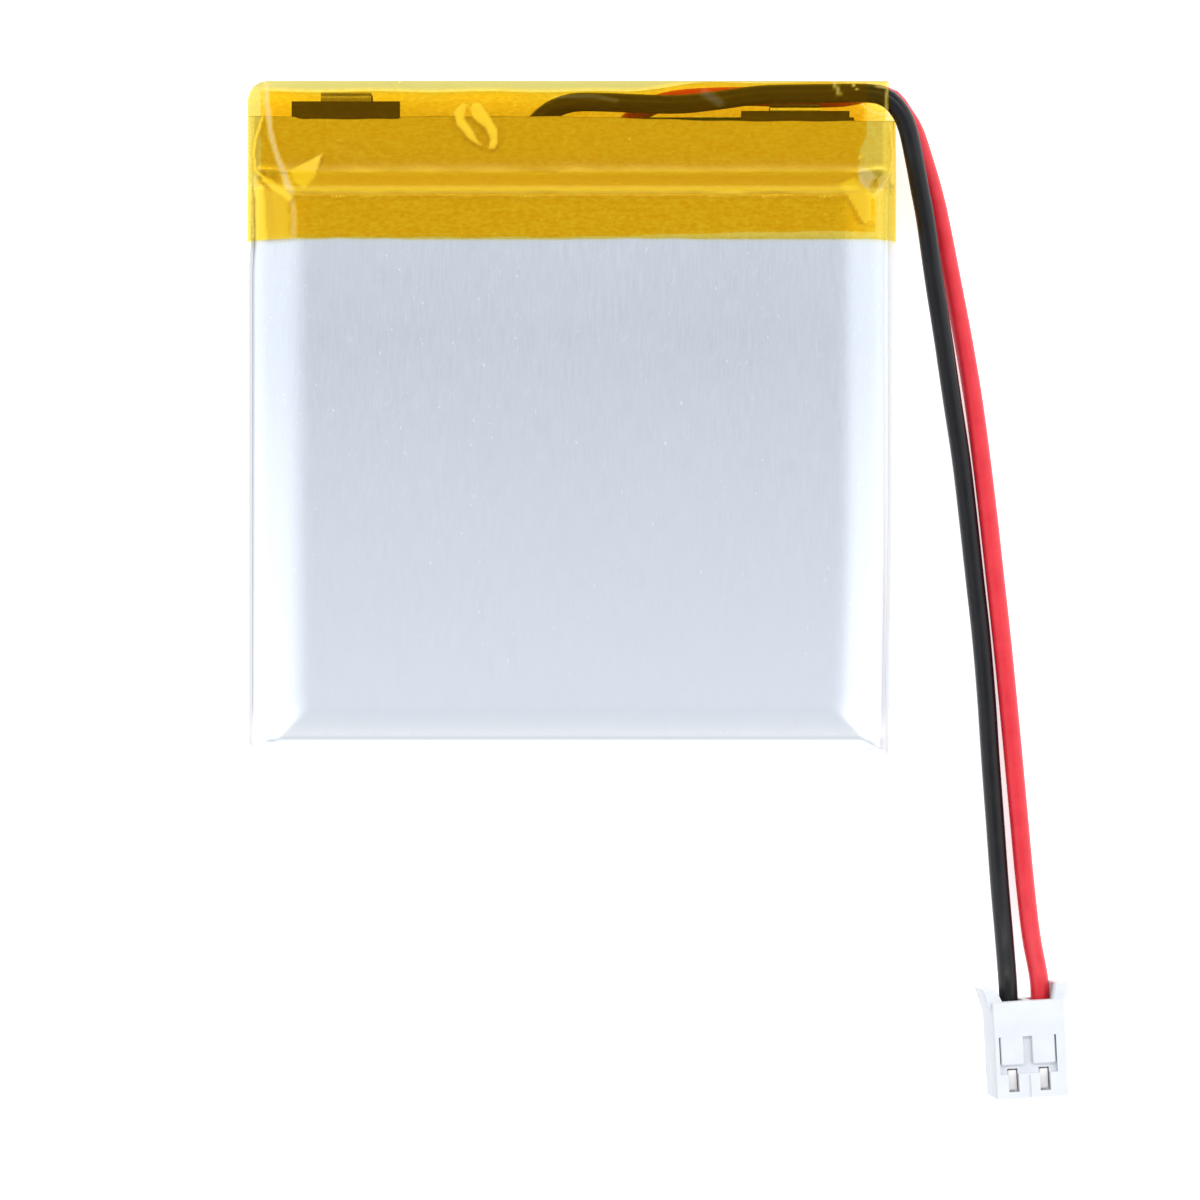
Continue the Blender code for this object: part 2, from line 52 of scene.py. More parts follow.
def box_mm(node):
    """The low and high corners of a CAD node, in millimetres."""
    low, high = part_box(node)
    return Vector(low) / MM, Vector(high) / MM


FILM_LOW, FILM_HIGH = box_mm("pouch_film")
TAPE_LOW, TAPE_HIGH = box_mm("outer_tape")
FILM = 0.11
SEAL_Z = (FILM_LOW.z + FILM_HIGH.z) / 2
CUP_RISE = (FILM_HIGH.z - FILM_LOW.z - FILM) / 2
CUP_SIDE = 3.75
SIDE_FALL = 1.8
SIDE_SQUARENESS = 2.6
FLANGE_TURN = 0.08
FLANGE_GAP = 0.16
FILM_OUTSIDE = FILM_HIGH.x - FILM / 2
CUP_FLAT = FILM_OUTSIDE - CUP_SIDE - 2 * FLANGE_TURN - FLANGE_GAP
FLANGE_ANGLE = 20.0
FRONT_PRESS, BACK_PRESS = 0.19, 0.235
CUP_TOP = 13.7
TERRACE_START = 15.1
TERRACE_END = FILM_HIGH.y
TERRACE_RISE = 0.25
CUP_BOTTOM = -20.45
BOTTOM_BEND = 0.65
BOTTOM_SQUARENESS = 3.0
BOTTOM_DROOP = 0.10
DROOP_START, DROOP_LENGTH = -18.2, 1.4
MITRE, MITRE_START = 1.9, -17.6
EAR_LEFT = 0.12
EAR_RIGHT = 0.55

TAPE = 0.05
TAPE_FRONT_EDGE = TAPE_LOW.y
TAPE_NOSE = TAPE_HIGH.y - TAPE / 2
OUTER_TAPE_OFF = TAPE_HIGH.z - FILM_HIGH.z - TAPE / 2
INNER_TAPE_OFF = OUTER_TAPE_OFF - 0.11
INNER_LEFT, INNER_RIGHT = -19.3, 18.65
TAPE_LEFT = 20.15
TAPE_RIGHT = 20.50
TAPE_CORNER = 1.4
TAPE_ROW = 0.11
ROWS_PER_BACK_ROW = 6
NOSE_START = 19.0
BRIDGE_FOOT, BRIDGE_CREST, BRIDGE_GLINT = 15.3, 13.8, 13.5

LEAD_RADIUS = 0.6
PLUG_CENTRE = (28.86, -39.6, 2.27)
PLUG_TURN = 3.0
PLUG_ROLL = 6.0
CONTACT_PITCH = 2.0
LATCH_SHIFT = -0.26


# ---- Small helpers.


def smoothstep(low, high, value):
    """0 at low and 1 at high, with an eased ramp between them; low may be the larger."""
    t = min(1.0, max(0.0, (value - low) / (high - low)))
    return t * t * (3 - 2 * t)


def spread(start, end, count):
    """count values from start up to, but not including, end."""
    return [start + (end - start) * i / count for i in range(count)]


def catmull_rom(points, spacing):
    """A smooth curve through the given points, as points about a spacing apart."""
    given = [Vector(p) for p in points]
    ends = [2 * given[0] - given[1]] + given + [2 * given[-1] - given[-2]]
    path = []
    for a, b, c, d in zip(ends, ends[1:], ends[2:], ends[3:]):
        steps = max(1, round((c - b).length / spacing))
        for t in (i / steps for i in range(steps)):
            path.append(0.5 * (2 * b + t * (c - a) + t * t * (2 * a - 5 * b + 4 * c - d)
                               + t ** 3 * (3 * b - a - 3 * c + d)))
    return path + [given[-1]]


def link(obj):
    bpy.context.scene.collection.objects.link(obj)
    return obj


def object_from(bm, name, look):
    """A smooth-shaded object from a bmesh, which is used up."""
    mesh = bpy.data.meshes.new(name)
    bm.to_mesh(mesh)
    bm.free()
    mesh.shade_smooth()
    mesh.materials.append(look)
    return link(bpy.data.objects.new(name, mesh))


def grid_object(name, rows, look, dropped=lambda centre: False):
    """A surface over rows of points in millimetres, without the faces whose centre is dropped."""
    bm = bmesh.new()
    made = [[bm.verts.new(Vector(point) * MM) for point in row] for row in rows]
    for here, after in zip(made, made[1:]):
        for corners in zip(here, here[1:], after[1:], after):
            if not dropped(sum((v.co for v in corners), Vector()) / 4 / MM):
                bm.faces.new(corners)
    bmesh.ops.remove_doubles(bm, verts=bm.verts, dist=1e-7)
    bmesh.ops.delete(bm, geom=[v for v in bm.verts if not v.link_faces], context="VERTS")
    bmesh.ops.recalc_face_normals(bm, faces=bm.faces)
    return object_from(bm, name, look)


def thicken(obj, thickness):
    """Gives a sheet its thickness, with cut edges that don't shade into its faces."""
    shell = obj.modifiers.new("thickness", "SOLIDIFY")
    shell.thickness = thickness * MM
    shell.offset = 0.0
    shell.edge_crease_rim = 1.0
    split = obj.modifiers.new("rim", "EDGE_SPLIT")
    split.split_angle = math.radians(50)


def store(obj, name, values):
    """A value for each vertex of a mesh, for its material to read."""
    obj.data.attributes.new(name, "FLOAT", "POINT").data.foreach_set("value", values)


# ---- Materials.


class Look:
    """A node material being built."""

    def __init__(self, name):
        self.material = bpy.data.materials.new(name)
        self.material.use_nodes = True
        self.tree = self.material.node_tree
        self.tree.nodes.clear()
        self.output = self.node("ShaderNodeOutputMaterial")
        place = self.node("ShaderNodeTexCoord")
        scale = self.node("ShaderNodeVectorMath", operation="SCALE")
        scale.inputs["Scale"].default_value = 1 / MM
        self.join(place.outputs["Object"], scale.inputs[0])
        self.place = scale.outputs[0]

    def node(self, kind, **settings):
        made = self.tree.nodes.new(kind)
        for name, value in settings.items():
            setattr(made, name, value)
        return made

    def join(self, out, into):
        self.tree.links.new(out, into)

    def principled(self, **values):
        shader = self.node("ShaderNodeBsdfPrincipled")
        for name, value in values.items():
            shader.inputs[name.replace("_", " ")].default_value = value
        return shader

    def scaled(self, vector, factors):
        made = self.node("ShaderNodeVectorMath", operation="MULTIPLY")
        made.inputs[1].default_value = factors
        self.join(vector, made.inputs[0])
        return made.outputs[0]

    def stretched(self, *factors):
        """The place in millimetres, with each axis scaled by its own factor."""
        return self.scaled(self.place, factors)

    def attribute(self, name):
        """A value stored on the mesh; 0 where the mesh has none of that name."""
        return self.node("ShaderNodeAttribute", attribute_name=name).outputs["Fac"]

    def turned(self, angle, scale):
        """The place in millimetres turned about Z by an angle in degrees, then scaled along each axis."""
        rotate = self.node("ShaderNodeVectorRotate", rotation_type="Z_AXIS")
        rotate.inputs["Angle"].default_value = math.radians(angle)
        self.join(self.place, rotate.inputs["Vector"])
        return self.scaled(rotate.outputs[0], scale)

    def noise(self, vector, scale, detail=3.0, roughness=0.55):
        made = self.node("ShaderNodeTexNoise")
        made.inputs["Scale"].default_value = scale
        made.inputs["Detail"].default_value = detail
        made.inputs["Roughness"].default_value = roughness
        self.join(vector, made.inputs["Vector"])
        return made.outputs["Fac"]

    def remap(self, value, low, high, out_low, out_high):
        """A value taken straight from one range to another, and held at its ends."""
        made = self.node("ShaderNodeMapRange")
        ends = {"From Min": low, "From Max": high, "To Min": out_low, "To Max": out_high}
        for name, number in ends.items():
            made.inputs[name].default_value = number
        self.join(value, made.inputs["Value"])
        return made.outputs["Result"]

    def blend_colours(self, factor, first, second):
        """first where the factor is 0, second where it is 1; each is a colour or a socket."""
        made = self.node("ShaderNodeMix", data_type="RGBA")
        colour_in = [s for s in made.inputs if s.type == "RGBA"]
        colour_out = [s for s in made.outputs if s.type == "RGBA"][0]
        self.join(factor, made.inputs[0])
        for value, socket in zip((first, second), colour_in):
            if isinstance(value, tuple):
                socket.default_value = (*value, 1.0)
            else:
                self.join(value, socket)
        return colour_out

    def bump(self, height, distance, strength=1.0):
        made = self.node("ShaderNodeBump")
        made.inputs["Strength"].default_value = strength
        made.inputs["Distance"].default_value = distance * MM
        self.join(height, made.inputs["Height"])
        return made.outputs["Normal"]

    def done(self, shader):
        self.join(shader.outputs[0], self.output.inputs["Surface"])
        return self.material


def laminate():
    """Aluminium laminate under a clear nylon skin: fine rolling streaks, pale specks and soft clouding, with
    painted light making it lighter towards the bottom end, under the tapes, on the rounded bottom and at the
    seal edges, and painted shade where the bottom turns under and along the cut end.
    """
    look = Look("laminate")
    shader = look.principled(IOR=1.5)
    streaks = look.noise(look.stretched(1.0, 0.06, 1.0), 9.0, 4.0, 0.75)
    clouds = look.noise(look.stretched(1.0, 0.5, 1.0), 0.12, 2.0)
    streaked = look.remap(streaks, 0.3, 0.7, 0.0, 1.0)
    tone = look.blend_colours(streaked, (0.553, 0.598, 0.662), (0.62, 0.664, 0.728))
    tone = look.blend_colours(look.remap(clouds, 0.35, 0.65, 0.0, 0.30), tone, (0.62, 0.665, 0.72))
    apart = look.node("ShaderNodeSeparateXYZ")
    look.join(look.place, apart.inputs[0])
    along = apart.outputs["Y"]
    # Painted light: the film's tone grows lighter towards the bottom end.
    tone = look.blend_colours(look.remap(along, 5.0, -19.0, 0.0, 1.0), tone, (0.80, 0.84, 0.915))
    # Painted light: the film under the tapes gets a lighter, neutral tone, making up for the light the tapes
    # hold back.
    painted_light_under_tape = look.remap(along, TAPE_FRONT_EDGE + 0.1, TAPE_FRONT_EDGE + 0.3, 0.0, 1.0)
    tone = look.blend_colours(painted_light_under_tape, tone, (0.70, 0.70, 0.72))
    # Painted highlight: a near-white band where the film rounds over at the bottom end.
    rim = look.remap(along, -18.4, -19.9, 0.0, 1.0)
    tone = look.blend_colours(rim, tone, (0.95, 0.98, 1.0))
    # Painted shade: darker where the film turns under at the bottom end.
    shaded_turn_under = look.remap(along, CUP_BOTTOM + 0.55, CUP_BOTTOM + 0.2, 0.0, 0.8)
    tone = look.blend_colours(shaded_turn_under, tone, (0.72, 0.75, 0.79))
    scuffs = look.noise(look.turned(35.0, (1.0, 0.16, 1.0)), 7.0, 3.0, 0.6)
    tone = look.blend_colours(look.remap(scuffs, 0.60, 0.78, 0.0, 0.5), tone, (0.80, 0.83, 0.88))
    specks = look.noise(look.turned(-20.0, (1.0, 0.45, 1.0)), 4.5, 1.0, 0.3)
    tone = look.blend_colours(look.remap(specks, 0.765, 0.80, 0.0, 0.6), tone, (0.95, 0.96, 0.98))
    # Painted light: the seal edges are pale matte grey and less metallic. This lifts their dark reflections
    # and the shade in the flange's grooves.
    seam = look.attribute("seam")
    tone = look.blend_colours(look.remap(seam, 0.0, 1.0, 0.0, 0.85), tone, (0.90, 0.90, 0.89))
    look.join(look.remap(seam, 0.0, 1.0, 0.75, 0.15), shader.inputs["Metallic"])
    # Painted shade: a dark line along the film's cut end, where it steps down under the tapes.
    cut = look.attribute("cut")
    colour = look.blend_colours(look.remap(cut, 0.0, 1.0, 0.0, 0.75), tone, (0.16, 0.13, 0.11))
    look.join(colour, shader.inputs["Base Color"])
    grain = look.noise(look.place, 9.0, 3.0, 0.6)
    look.join(look.remap(streaks, 0.2, 0.8, 0.33, 0.41), shader.inputs["Roughness"])
    both = look.node("ShaderNodeMath", operation="ADD")
    look.join(look.remap(streaks, 0.0, 1.0, 0.0, 0.5), both.inputs[0])
    look.join(grain, both.inputs[1])
    look.join(look.bump(both.outputs[0], 0.003), shader.inputs["Normal"])
    return look.done(shader)


def amber_tape(name):
    """Clear amber film: it tints what is under it. Painted highlights, amber turning bright yellow and
    whitish, lie where it is creased or lifts. Past the inner tape its tint is paler in blue and carries
    painted shadow.
    """
    look = Look(name)
    shine, highlight_white, pale = (look.attribute(given) for given in ("shine", "highlight_white", "pale"))
    fine = look.noise(look.stretched(0.5, 1.0, 1.0), 5.0, 4.0, 0.7)
    grain = look.remap(fine, 0.38, 0.62, 0.0, 1.0)
    clear = look.node("ShaderNodeBsdfTransparent")
    tint = look.blend_colours(grain, (0.965, 0.80, 0.24), (1.0, 0.90, 0.37))
    # Painted shadow: where the pale value is set, the tint drops in red for the shaded floor under the tape.
    # It also rises in blue for the single layer.
    look.join(look.blend_colours(pale, tint, (0.76, 0.73, 0.41)), clear.inputs["Color"])
    # Painted highlights: where the shine value is high the film shows this lit skin, amber turning bright
    # yellow and then whitish.
    skin = look.principled(Roughness=0.35, IOR=1.35)
    gold = look.blend_colours(grain, (0.69, 0.375, 0.006), (0.79, 0.44, 0.012))
    highlight_yellow = look.blend_colours(look.remap(highlight_white, 0.0, 0.5, 0.0, 1.0), gold, (1.0, 0.68, 0.02))
    colour = look.blend_colours(look.remap(highlight_white, 0.5, 1.0, 0.0, 1.0), highlight_yellow, (0.93, 0.76, 0.34))
    look.join(colour, skin.inputs["Base Color"])
    look.join(look.bump(fine, 0.01), skin.inputs["Normal"])
    share = look.node("ShaderNodeMixShader")
    look.join(look.remap(shine, 0.0, 1.0, 0.04, 0.95), share.inputs[0])
    look.join(clear.outputs[0], share.inputs[1])
    look.join(skin.outputs[0], share.inputs[2])
    return look.done(share)


def soft_plastic(name, dark, light, roughness, scuff, index=1.5):
    """Extruded or moulded plastic: faint clouding, a fine grain, a few pale scuffs and painted shade on faces
    marked for it.
    """
    look = Look(name)
    shader = look.principled(IOR=index)
    clouds = look.noise(look.place, 0.6, 3.0)
    colour = look.blend_colours(look.remap(clouds, 0.3, 0.7, 0.0, 1.0), dark, light)
    marks = look.noise(look.stretched(2.5, 0.5, 2.5), 1.3, 5.0, 0.75)
    colour = look.blend_colours(look.remap(marks, 0.72, 0.80, 0.0, 0.8), colour, scuff)
    # Painted shade: faces marked for it turn a darker grey.
    colour = look.blend_colours(look.attribute("painted_side_shade"), colour, (0.50, 0.52, 0.555))
    look.join(colour, shader.inputs["Base Color"])
    look.join(look.remap(clouds, 0.2, 0.8, roughness - 0.06, roughness + 0.06), shader.inputs["Roughness"])
    look.join(look.bump(look.noise(look.place, 6.0, 2.0), 0.01), shader.inputs["Normal"])
    return look.done(shader)


def metal(name, dark, light, roughness, streak=(1.0, 0.15, 1.0), metallic=1.0):
    """Rolled or plated metal, with its streaks along the length."""
    look = Look(name)
    shader = look.principled(Metallic=metallic)
    streaks = look.noise(look.stretched(*streak), 6.0, 4.0, 0.65)
    colour = look.blend_colours(look.remap(streaks, 0.3, 0.7, 0.0, 1.0), dark, light)
    look.join(colour, shader.inputs["Base Color"])
    look.join(look.remap(streaks, 0.2, 0.8, roughness - 0.08, roughness + 0.08), shader.inputs["Roughness"])
    look.join(look.bump(streaks, 0.004), shader.inputs["Normal"])
    return look.done(shader)


LAMINATE = laminate()
OUTER_AMBER = amber_tape("outer_amber_tape")
INNER_AMBER = amber_tape("inner_amber_tape")
BLACK_PVC = soft_plastic("black_pvc", (0.004, 0.004, 0.006), (0.008, 0.008, 0.010), 0.34,
                         (0.10, 0.10, 0.12), index=1.38)
RED_PVC = soft_plastic("red_pvc", (0.72, 0.012, 0.028), (0.84, 0.028, 0.045), 0.40, (0.92, 0.35, 0.35))
NYLON = soft_plastic("white_nylon", (0.765, 0.79, 0.83), (0.815, 0.84, 0.875), 0.42, (0.86, 0.88, 0.90))
TINNED = metal("tinned_contact", (0.93, 0.90, 0.87), (1.0, 0.98, 0.96), 0.50, metallic=0.1)
NICKEL = metal("nickel", (0.30, 0.27, 0.22), (0.44, 0.41, 0.35), 0.38)
ALUMINIUM = metal("aluminium_foil", (0.50, 0.50, 0.50), (0.66, 0.66, 0.66), 0.36)
COPPER = metal("copper_foil", (0.62, 0.28, 0.16), (0.86, 0.47, 0.30), 0.35)
SOLDER = metal("solder", (0.60, 0.60, 0.62), (0.85, 0.85, 0.86), 0.25, (1.0, 1.0, 1.0))
SEALANT = soft_plastic("sealant", (0.010, 0.007, 0.006), (0.030, 0.020, 0.016), 0.45, (0.12, 0.08, 0.05))
SEPARATOR = soft_plastic("separator", (0.82, 0.83, 0.82), (0.92, 0.93, 0.92), 0.60, (0.97, 0.97, 0.97))
FISH_PAPER = soft_plastic("fish_paper", (0.40, 0.33, 0.22), (0.50, 0.41, 0.28), 0.80, (0.62, 0.55, 0.40))
BOARD = soft_plastic("board", (0.010, 0.16, 0.05), (0.020, 0.24, 0.08), 0.35, (0.10, 0.40, 0.18))
CHIP = soft_plastic("chip", (0.012, 0.012, 0.013), (0.022, 0.022, 0.023), 0.55, (0.10, 0.10, 0.10))
CERAMIC = soft_plastic("ceramic", (0.34, 0.25, 0.17), (0.46, 0.36, 0.26), 0.40, (0.75, 0.74, 0.72))
CLOSING_TAPE = soft_plastic("closing_tape", (0.70, 0.40, 0.03), (0.82, 0.50, 0.05), 0.25, (0.90, 0.70, 0.30))

NODE_LOOKS = {
    "separator_inner": SEPARATOR,
    "separator_outer": SEPARATOR,
    "anode_strip": COPPER,
    "cathode_strip": ALUMINIUM,
    "winding_tape": CLOSING_TAPE,
    "negative_tab": NICKEL,
    "positive_tab": ALUMINIUM,
    "negative_tab_sealant": SEALANT,
    "positive_tab_sealant": SEALANT,
    "negative_nickel_strip": NICKEL,
    "positive_nickel_strip": NICKEL,
    "terrace_insulator": FISH_PAPER,
    "circuit_board": BOARD,
    "mosfet_pair": CHIP,
    "protection_ic": CHIP,
    "filter_resistor": CERAMIC,
    "sense_resistor": CERAMIC,
    "filter_capacitor": CERAMIC,
    "black_solder_joint": SOLDER,
    "red_solder_joint": SOLDER,
    "black_conductor_at_board": SOLDER,
    "red_conductor_at_board": SOLDER,
    "black_conductor_at_plug": COPPER,
    "red_conductor_at_plug": COPPER,
}


def dress_nodes():
    """Gives each CAD node that is kept as it is its material."""
    for name, look in NODE_LOOKS.items():
        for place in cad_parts[name].material_slots:
            place.material = look


# ---- The pouch film.


def cup_height(y, x):
    """0 on the terrace and 1 on the broad face; the cup's corners are drawn a little further out."""
    drawn = 0.3 * smoothstep(CUP_FLAT, CUP_FLAT + CUP_SIDE, abs(x))
    return 1.0 - smoothstep(CUP_TOP - 0.1, TERRACE_START + 0.1, y - drawn)


def side_share(x):
    """How much of the cup's height is left beyond the flat part of the face."""
    beyond = min(1.0, max(0.0, abs(x) - CUP_FLAT) / CUP_SIDE)
    return (1.0 - beyond ** SIDE_FALL) ** (1.0 / SIDE_SQUARENESS)


def unevenness(x, y):
    """The film's soft waves, in millimetres of height."""
    broad = noise.noise(Vector((x * 0.09, y * 0.06, 3.7)))
    narrow = noise.noise(Vector((x * 0.45, y * 0.12, 9.1)))
    return 0.030 * broad + 0.008 * narrow


def front_rows():
    """(y, drop below the face) from the cut edge to the folded end."""
    rows = [(TERRACE_END, 0.0), (TERRACE_END - 0.05, 0.0)]
    rows += [(y, 0.0) for y in spread(TERRACE_END - 0.1, TERRACE_START + 0.2, 12)]
    rows += [(y, 0.0) for y in spread(TERRACE_START + 0.2, CUP_TOP - 1.8, 44)]
    rows += [(y, 0.0) for y in spread(CUP_TOP - 1.8, CUP_BOTTOM + BOTTOM_BEND, 70)]
    for angle in spread(0, 90, 18):
        turned = math.radians(angle)
        along, across = (f(turned) ** (2 / BOTTOM_SQUARENESS) for f in (math.sin, math.cos))
        rows.append((CUP_BOTTOM + BOTTOM_BEND * (1 - along), BOTTOM_BEND * (1 - across)))
    rows += [(CUP_BOTTOM, drop) for drop in spread(BOTTOM_BEND, CUP_RISE - TERRACE_RISE, 5)]
    return rows


def half_columns(front):
    """(x, share of the cup's height, height of the seal's own fold) from the middle to the seal's edge."""
    side = CUP_SIDE if front else FILM_OUTSIDE - CUP_FLAT
    columns = [(x, 1.0, 0.0) for x in spread(0.0, CUP_FLAT, 40)]
    columns += [(CUP_FLAT + side * math.sin(a) ** (2 / SIDE_FALL), math.cos(a) ** (2 / SIDE_SQUARENESS), 0.0)
                for a in map(math.radians, spread(0, 90, 24))]
    root = CUP_FLAT + CUP_SIDE + FLANGE_TURN
    if front:
        turn = [math.radians(a) for a in spread(180, 360, 8)]
        columns += [(root + FLANGE_TURN * math.cos(a), 0.0, FLANGE_TURN * math.sin(a)) for a in turn]
    else:
        columns.append((FILM_OUTSIDE, 0.0, 0.0))
        columns += [(FILM_OUTSIDE, 0.0, -TERRACE_RISE * (1 - i / 8)) for i in range(1, 8)]
    outside = FILM_OUTSIDE - (FLANGE_GAP if front else 0.0)
    for i in range(7):
        angle = math.radians(FLANGE_ANGLE * i / 6)
        pressed = (FRONT_PRESS if front else BACK_PRESS) * (i / 6) ** 1.5
        columns.append((outside - pressed, 0.0, CUP_RISE * math.sin(angle)))
    return columns


def ear(x):
    """How far the folded end is drawn out near each corner."""
    reach = EAR_RIGHT if x > 0 else EAR_LEFT
    return reach * smoothstep(CUP_FLAT, CUP_FLAT + CUP_SIDE + 0.3, abs(x))


def widened(x, y):
    """How much further out a side lies than on an even pouch, in X: it is fullest on the right."""
    reach = abs(x)
    mitre = MITRE * smoothstep(MITRE_START, CUP_BOTTOM + 0.2, y) ** 1.5
    mitre *= min(reach / CUP_FLAT, max(0.0, 1.0 - (reach - CUP_FLAT) / CUP_SIDE))
    return math.copysign(mitre, x) + fuller_side(x, y, reach)


def fuller_side(x, y, reach):
    """The part of widened() that runs the length of a side: out at the shoulder, and in again at the edge."""
    if x > 0:
        fuller = 0.50 * smoothstep(9.0, 16.5, reach) - 0.24 * smoothstep(16.5, 20.0, reach)
        return fuller * (0.25 + 0.75 * smoothstep(-21.0, -4.0, y))
    outer = 0.24 - 0.12 * smoothstep(9.0, 11.0, y)
    return 0.16 * smoothstep(9.0, 16.5, reach) - outer * smoothstep(16.5, 20.0, reach)


def trimmed_back(x):
    """How far short of straight the film's cut end stops: it dips at the tabs and on the right."""
    over_tab = 0.17 * smoothstep(-17.3, -16.7, x) * smoothstep(-10.3, -10.9, x)
    return over_tab + 0.30 * smoothstep(-2.0, 12.0, x) + 0.02 * math.sin(x * 1.7)


def film_point(x, share, fold, y, drop, front):
    """A point of the film's mid-surface, on its front or its back half."""
    x, even = x + widened(x, y), x
    height = cup_height(y, even)
    near_end = smoothstep(CUP_BOTTOM + 3.0, CUP_BOTTOM, y)
    trimmed = smoothstep(CUP_TOP + 1.0, CUP_TOP, y)
    lift = TERRACE_RISE + (CUP_RISE - TERRACE_RISE) * height * share
    left = max(0.0, 1.0 - drop / (CUP_RISE - TERRACE_RISE))
    lift = TERRACE_RISE + (lift - TERRACE_RISE) * left if front else lift * left
    if not front and 0.0 < share < 1.0:
        lift *= share ** 0.15
    y -= ear(even) * near_end + trimmed_back(x) * smoothstep(TERRACE_END - 1.5, TERRACE_END, y)
    if share > 0.0:
        waves = unevenness(x, y) * height * share * left
        waves -= BOTTOM_DROOP * min(1.0, max(0.0, (DROOP_START - y) / DROOP_LENGTH)) ** 2 * share * left
        return (x, y, SEAL_Z + lift + waves if front else SEAL_Z - lift - waves * 0.5)
    if fold > 0.0:
        fold *= max(trimmed, 0.05)
    return (x, y, SEAL_Z + TERRACE_RISE + fold)


def film_row(y, drop, front):
    """The film's points across the cell at one place along it, from left to right."""
    half = half_columns(front)
    right = [film_point(x, share, fold, y, drop, front) for x, share, fold in half]
    left = [film_point(-x, share, fold, y, drop, front) for x, share, fold in half[:0:-1]]
    return left + right


def pouch_film():
    """The film: front half, the fold at the bottom end, and the back half."""
    rows = front_rows()
    front = [film_row(y, drop, True) for y, drop in rows]
    back = [film_row(y, drop, False) for y, drop in rows]
    fold = []
    for a, b in zip(front[-1], back[-1]):
        fold.append(((a[0] + b[0]) / 2, CUP_BOTTOM - 0.10 - ear(a[0]), (a[2] + b[2]) / 2))
    film = grid_object("pouch_film_detailed", front + [fold] + back[::-1], LAMINATE)
    made = film.data.vertices
    # Where the film's cut end gets its painted shade line.
    store(film, "cut", [float(v.co.y / MM > TERRACE_END - trimmed_back(v.co.x / MM) - 0.03) for v in made])
    # Where the seal edges get their painted light.
    store(film, "seam", [smoothstep(FILM_OUTSIDE - 0.5, FILM_OUTSIDE - 0.3, abs(v.co.x) / MM) for v in made])
    thicken(film, FILM)
    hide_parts("pouch_film")
    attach(film, "root")


# ---- The tapes.


def film_top(x, y):
    """The height of the film's front under the tapes."""
    x -= widened(x, y)
    height = cup_height(y, x)
    return SEAL_Z + TERRACE_RISE + (CUP_RISE - TERRACE_RISE) * height * side_share(x) + FILM / 2


# Creases on the tape's front, with painted highlights along them, and painted reflections where some lie over
# the lead under the tape:
# the points along each, its half width, its painted highlight's strength and whiteness from 0 to 1, and its
# height. Lengths are in millimetres.
CREASES_AND_HIGHLIGHTS = [
    ([(-18.95, 20.9), (-18.8, 18.9), (-18.6, 17.3), (-18.2, 16.0), (-17.65, 14.8), (-17.3, 13.9)],
     0.25, 0.55, 1.0, 0.08),
    ([(-17.3, 13.9), (-17.1, 13.3), (-17.0, 10.6)], 0.28, 0.34, 0.80, 0.03),
    ([(-19.25, 14.0), (-19.2, 13.0), (-19.0, 10.6)], 0.40, 0.85, 0.60, 0.0),
    ([(-1.0, 19.95), (1.5, 20.0), (3.0, 19.7)], 0.14, 0.05, 0.9, 0.0),
    ([(8.5, 20.2), (9.4, 19.6)], 0.34, 0.045, 1.0, 0.0),
    ([(-19.2, 18.7), (-19.6, 17.3), (-19.75, 16.3), (-19.6, 15.35), (-18.8, 14.7)], 0.11, 0.95, 0.55, 0.10),
    ([(-18.9, 14.7), (-18.0, 13.95), (-17.35, 13.45)], 0.34, 0.90, 0.52, 0.08),
    ([(-19.8, 13.9), (-19.65, 11.0)], 0.06, 0.60, 0.6, 0.03),
    ([(-18.9, 20.8), (-19.3, 20.5), (-19.8, 19.8)], 0.10, 0.55, 0.75, 0.05),
    ([(-19.2, 19.9), (-19.8, 19.4)], 0.07, 0.60, 0.75, 0.05),
    ([(-10.6, 20.95), (-10.75, 20.3)], 0.05, 0.35, 0.9, 0.02),
    ([(18.4, 19.45), (18.9, 19.05), (19.9, 18.8)], 0.09, 0.70, 1.0, 0.05),
    ([(16.6, 20.85), (16.95, 20.1)], 0.14, 0.35, 0.95, 0.04),
    ([(17.7, 20.9), (17.95, 20.4)], 0.07, 0.50, 0.95, 0.03),
    ([(19.2, 20.6), (19.85, 20.5), (19.9, 19.1)], 0.10, 0.35, 0.9, 0.04),
    ([(20.15, 18.2), (20.3, 16.4), (20.15, 15.2), (19.4, 14.0)], 0.10, 0.60, 0.65, 0.08),
    ([(19.4, 14.0), (18.7, 13.45)], 0.07, 0.45, 0.55, 0.04),
    ([(-15.0, 16.9), (-13.2, 16.3), (-12.0, 15.4)], 0.30, 0.10, 0.3, 0.02),
    ([(-13.6, 17.4), (-11.6, 16.2)], 0.10, 0.12, 0.3, 0.02),
]
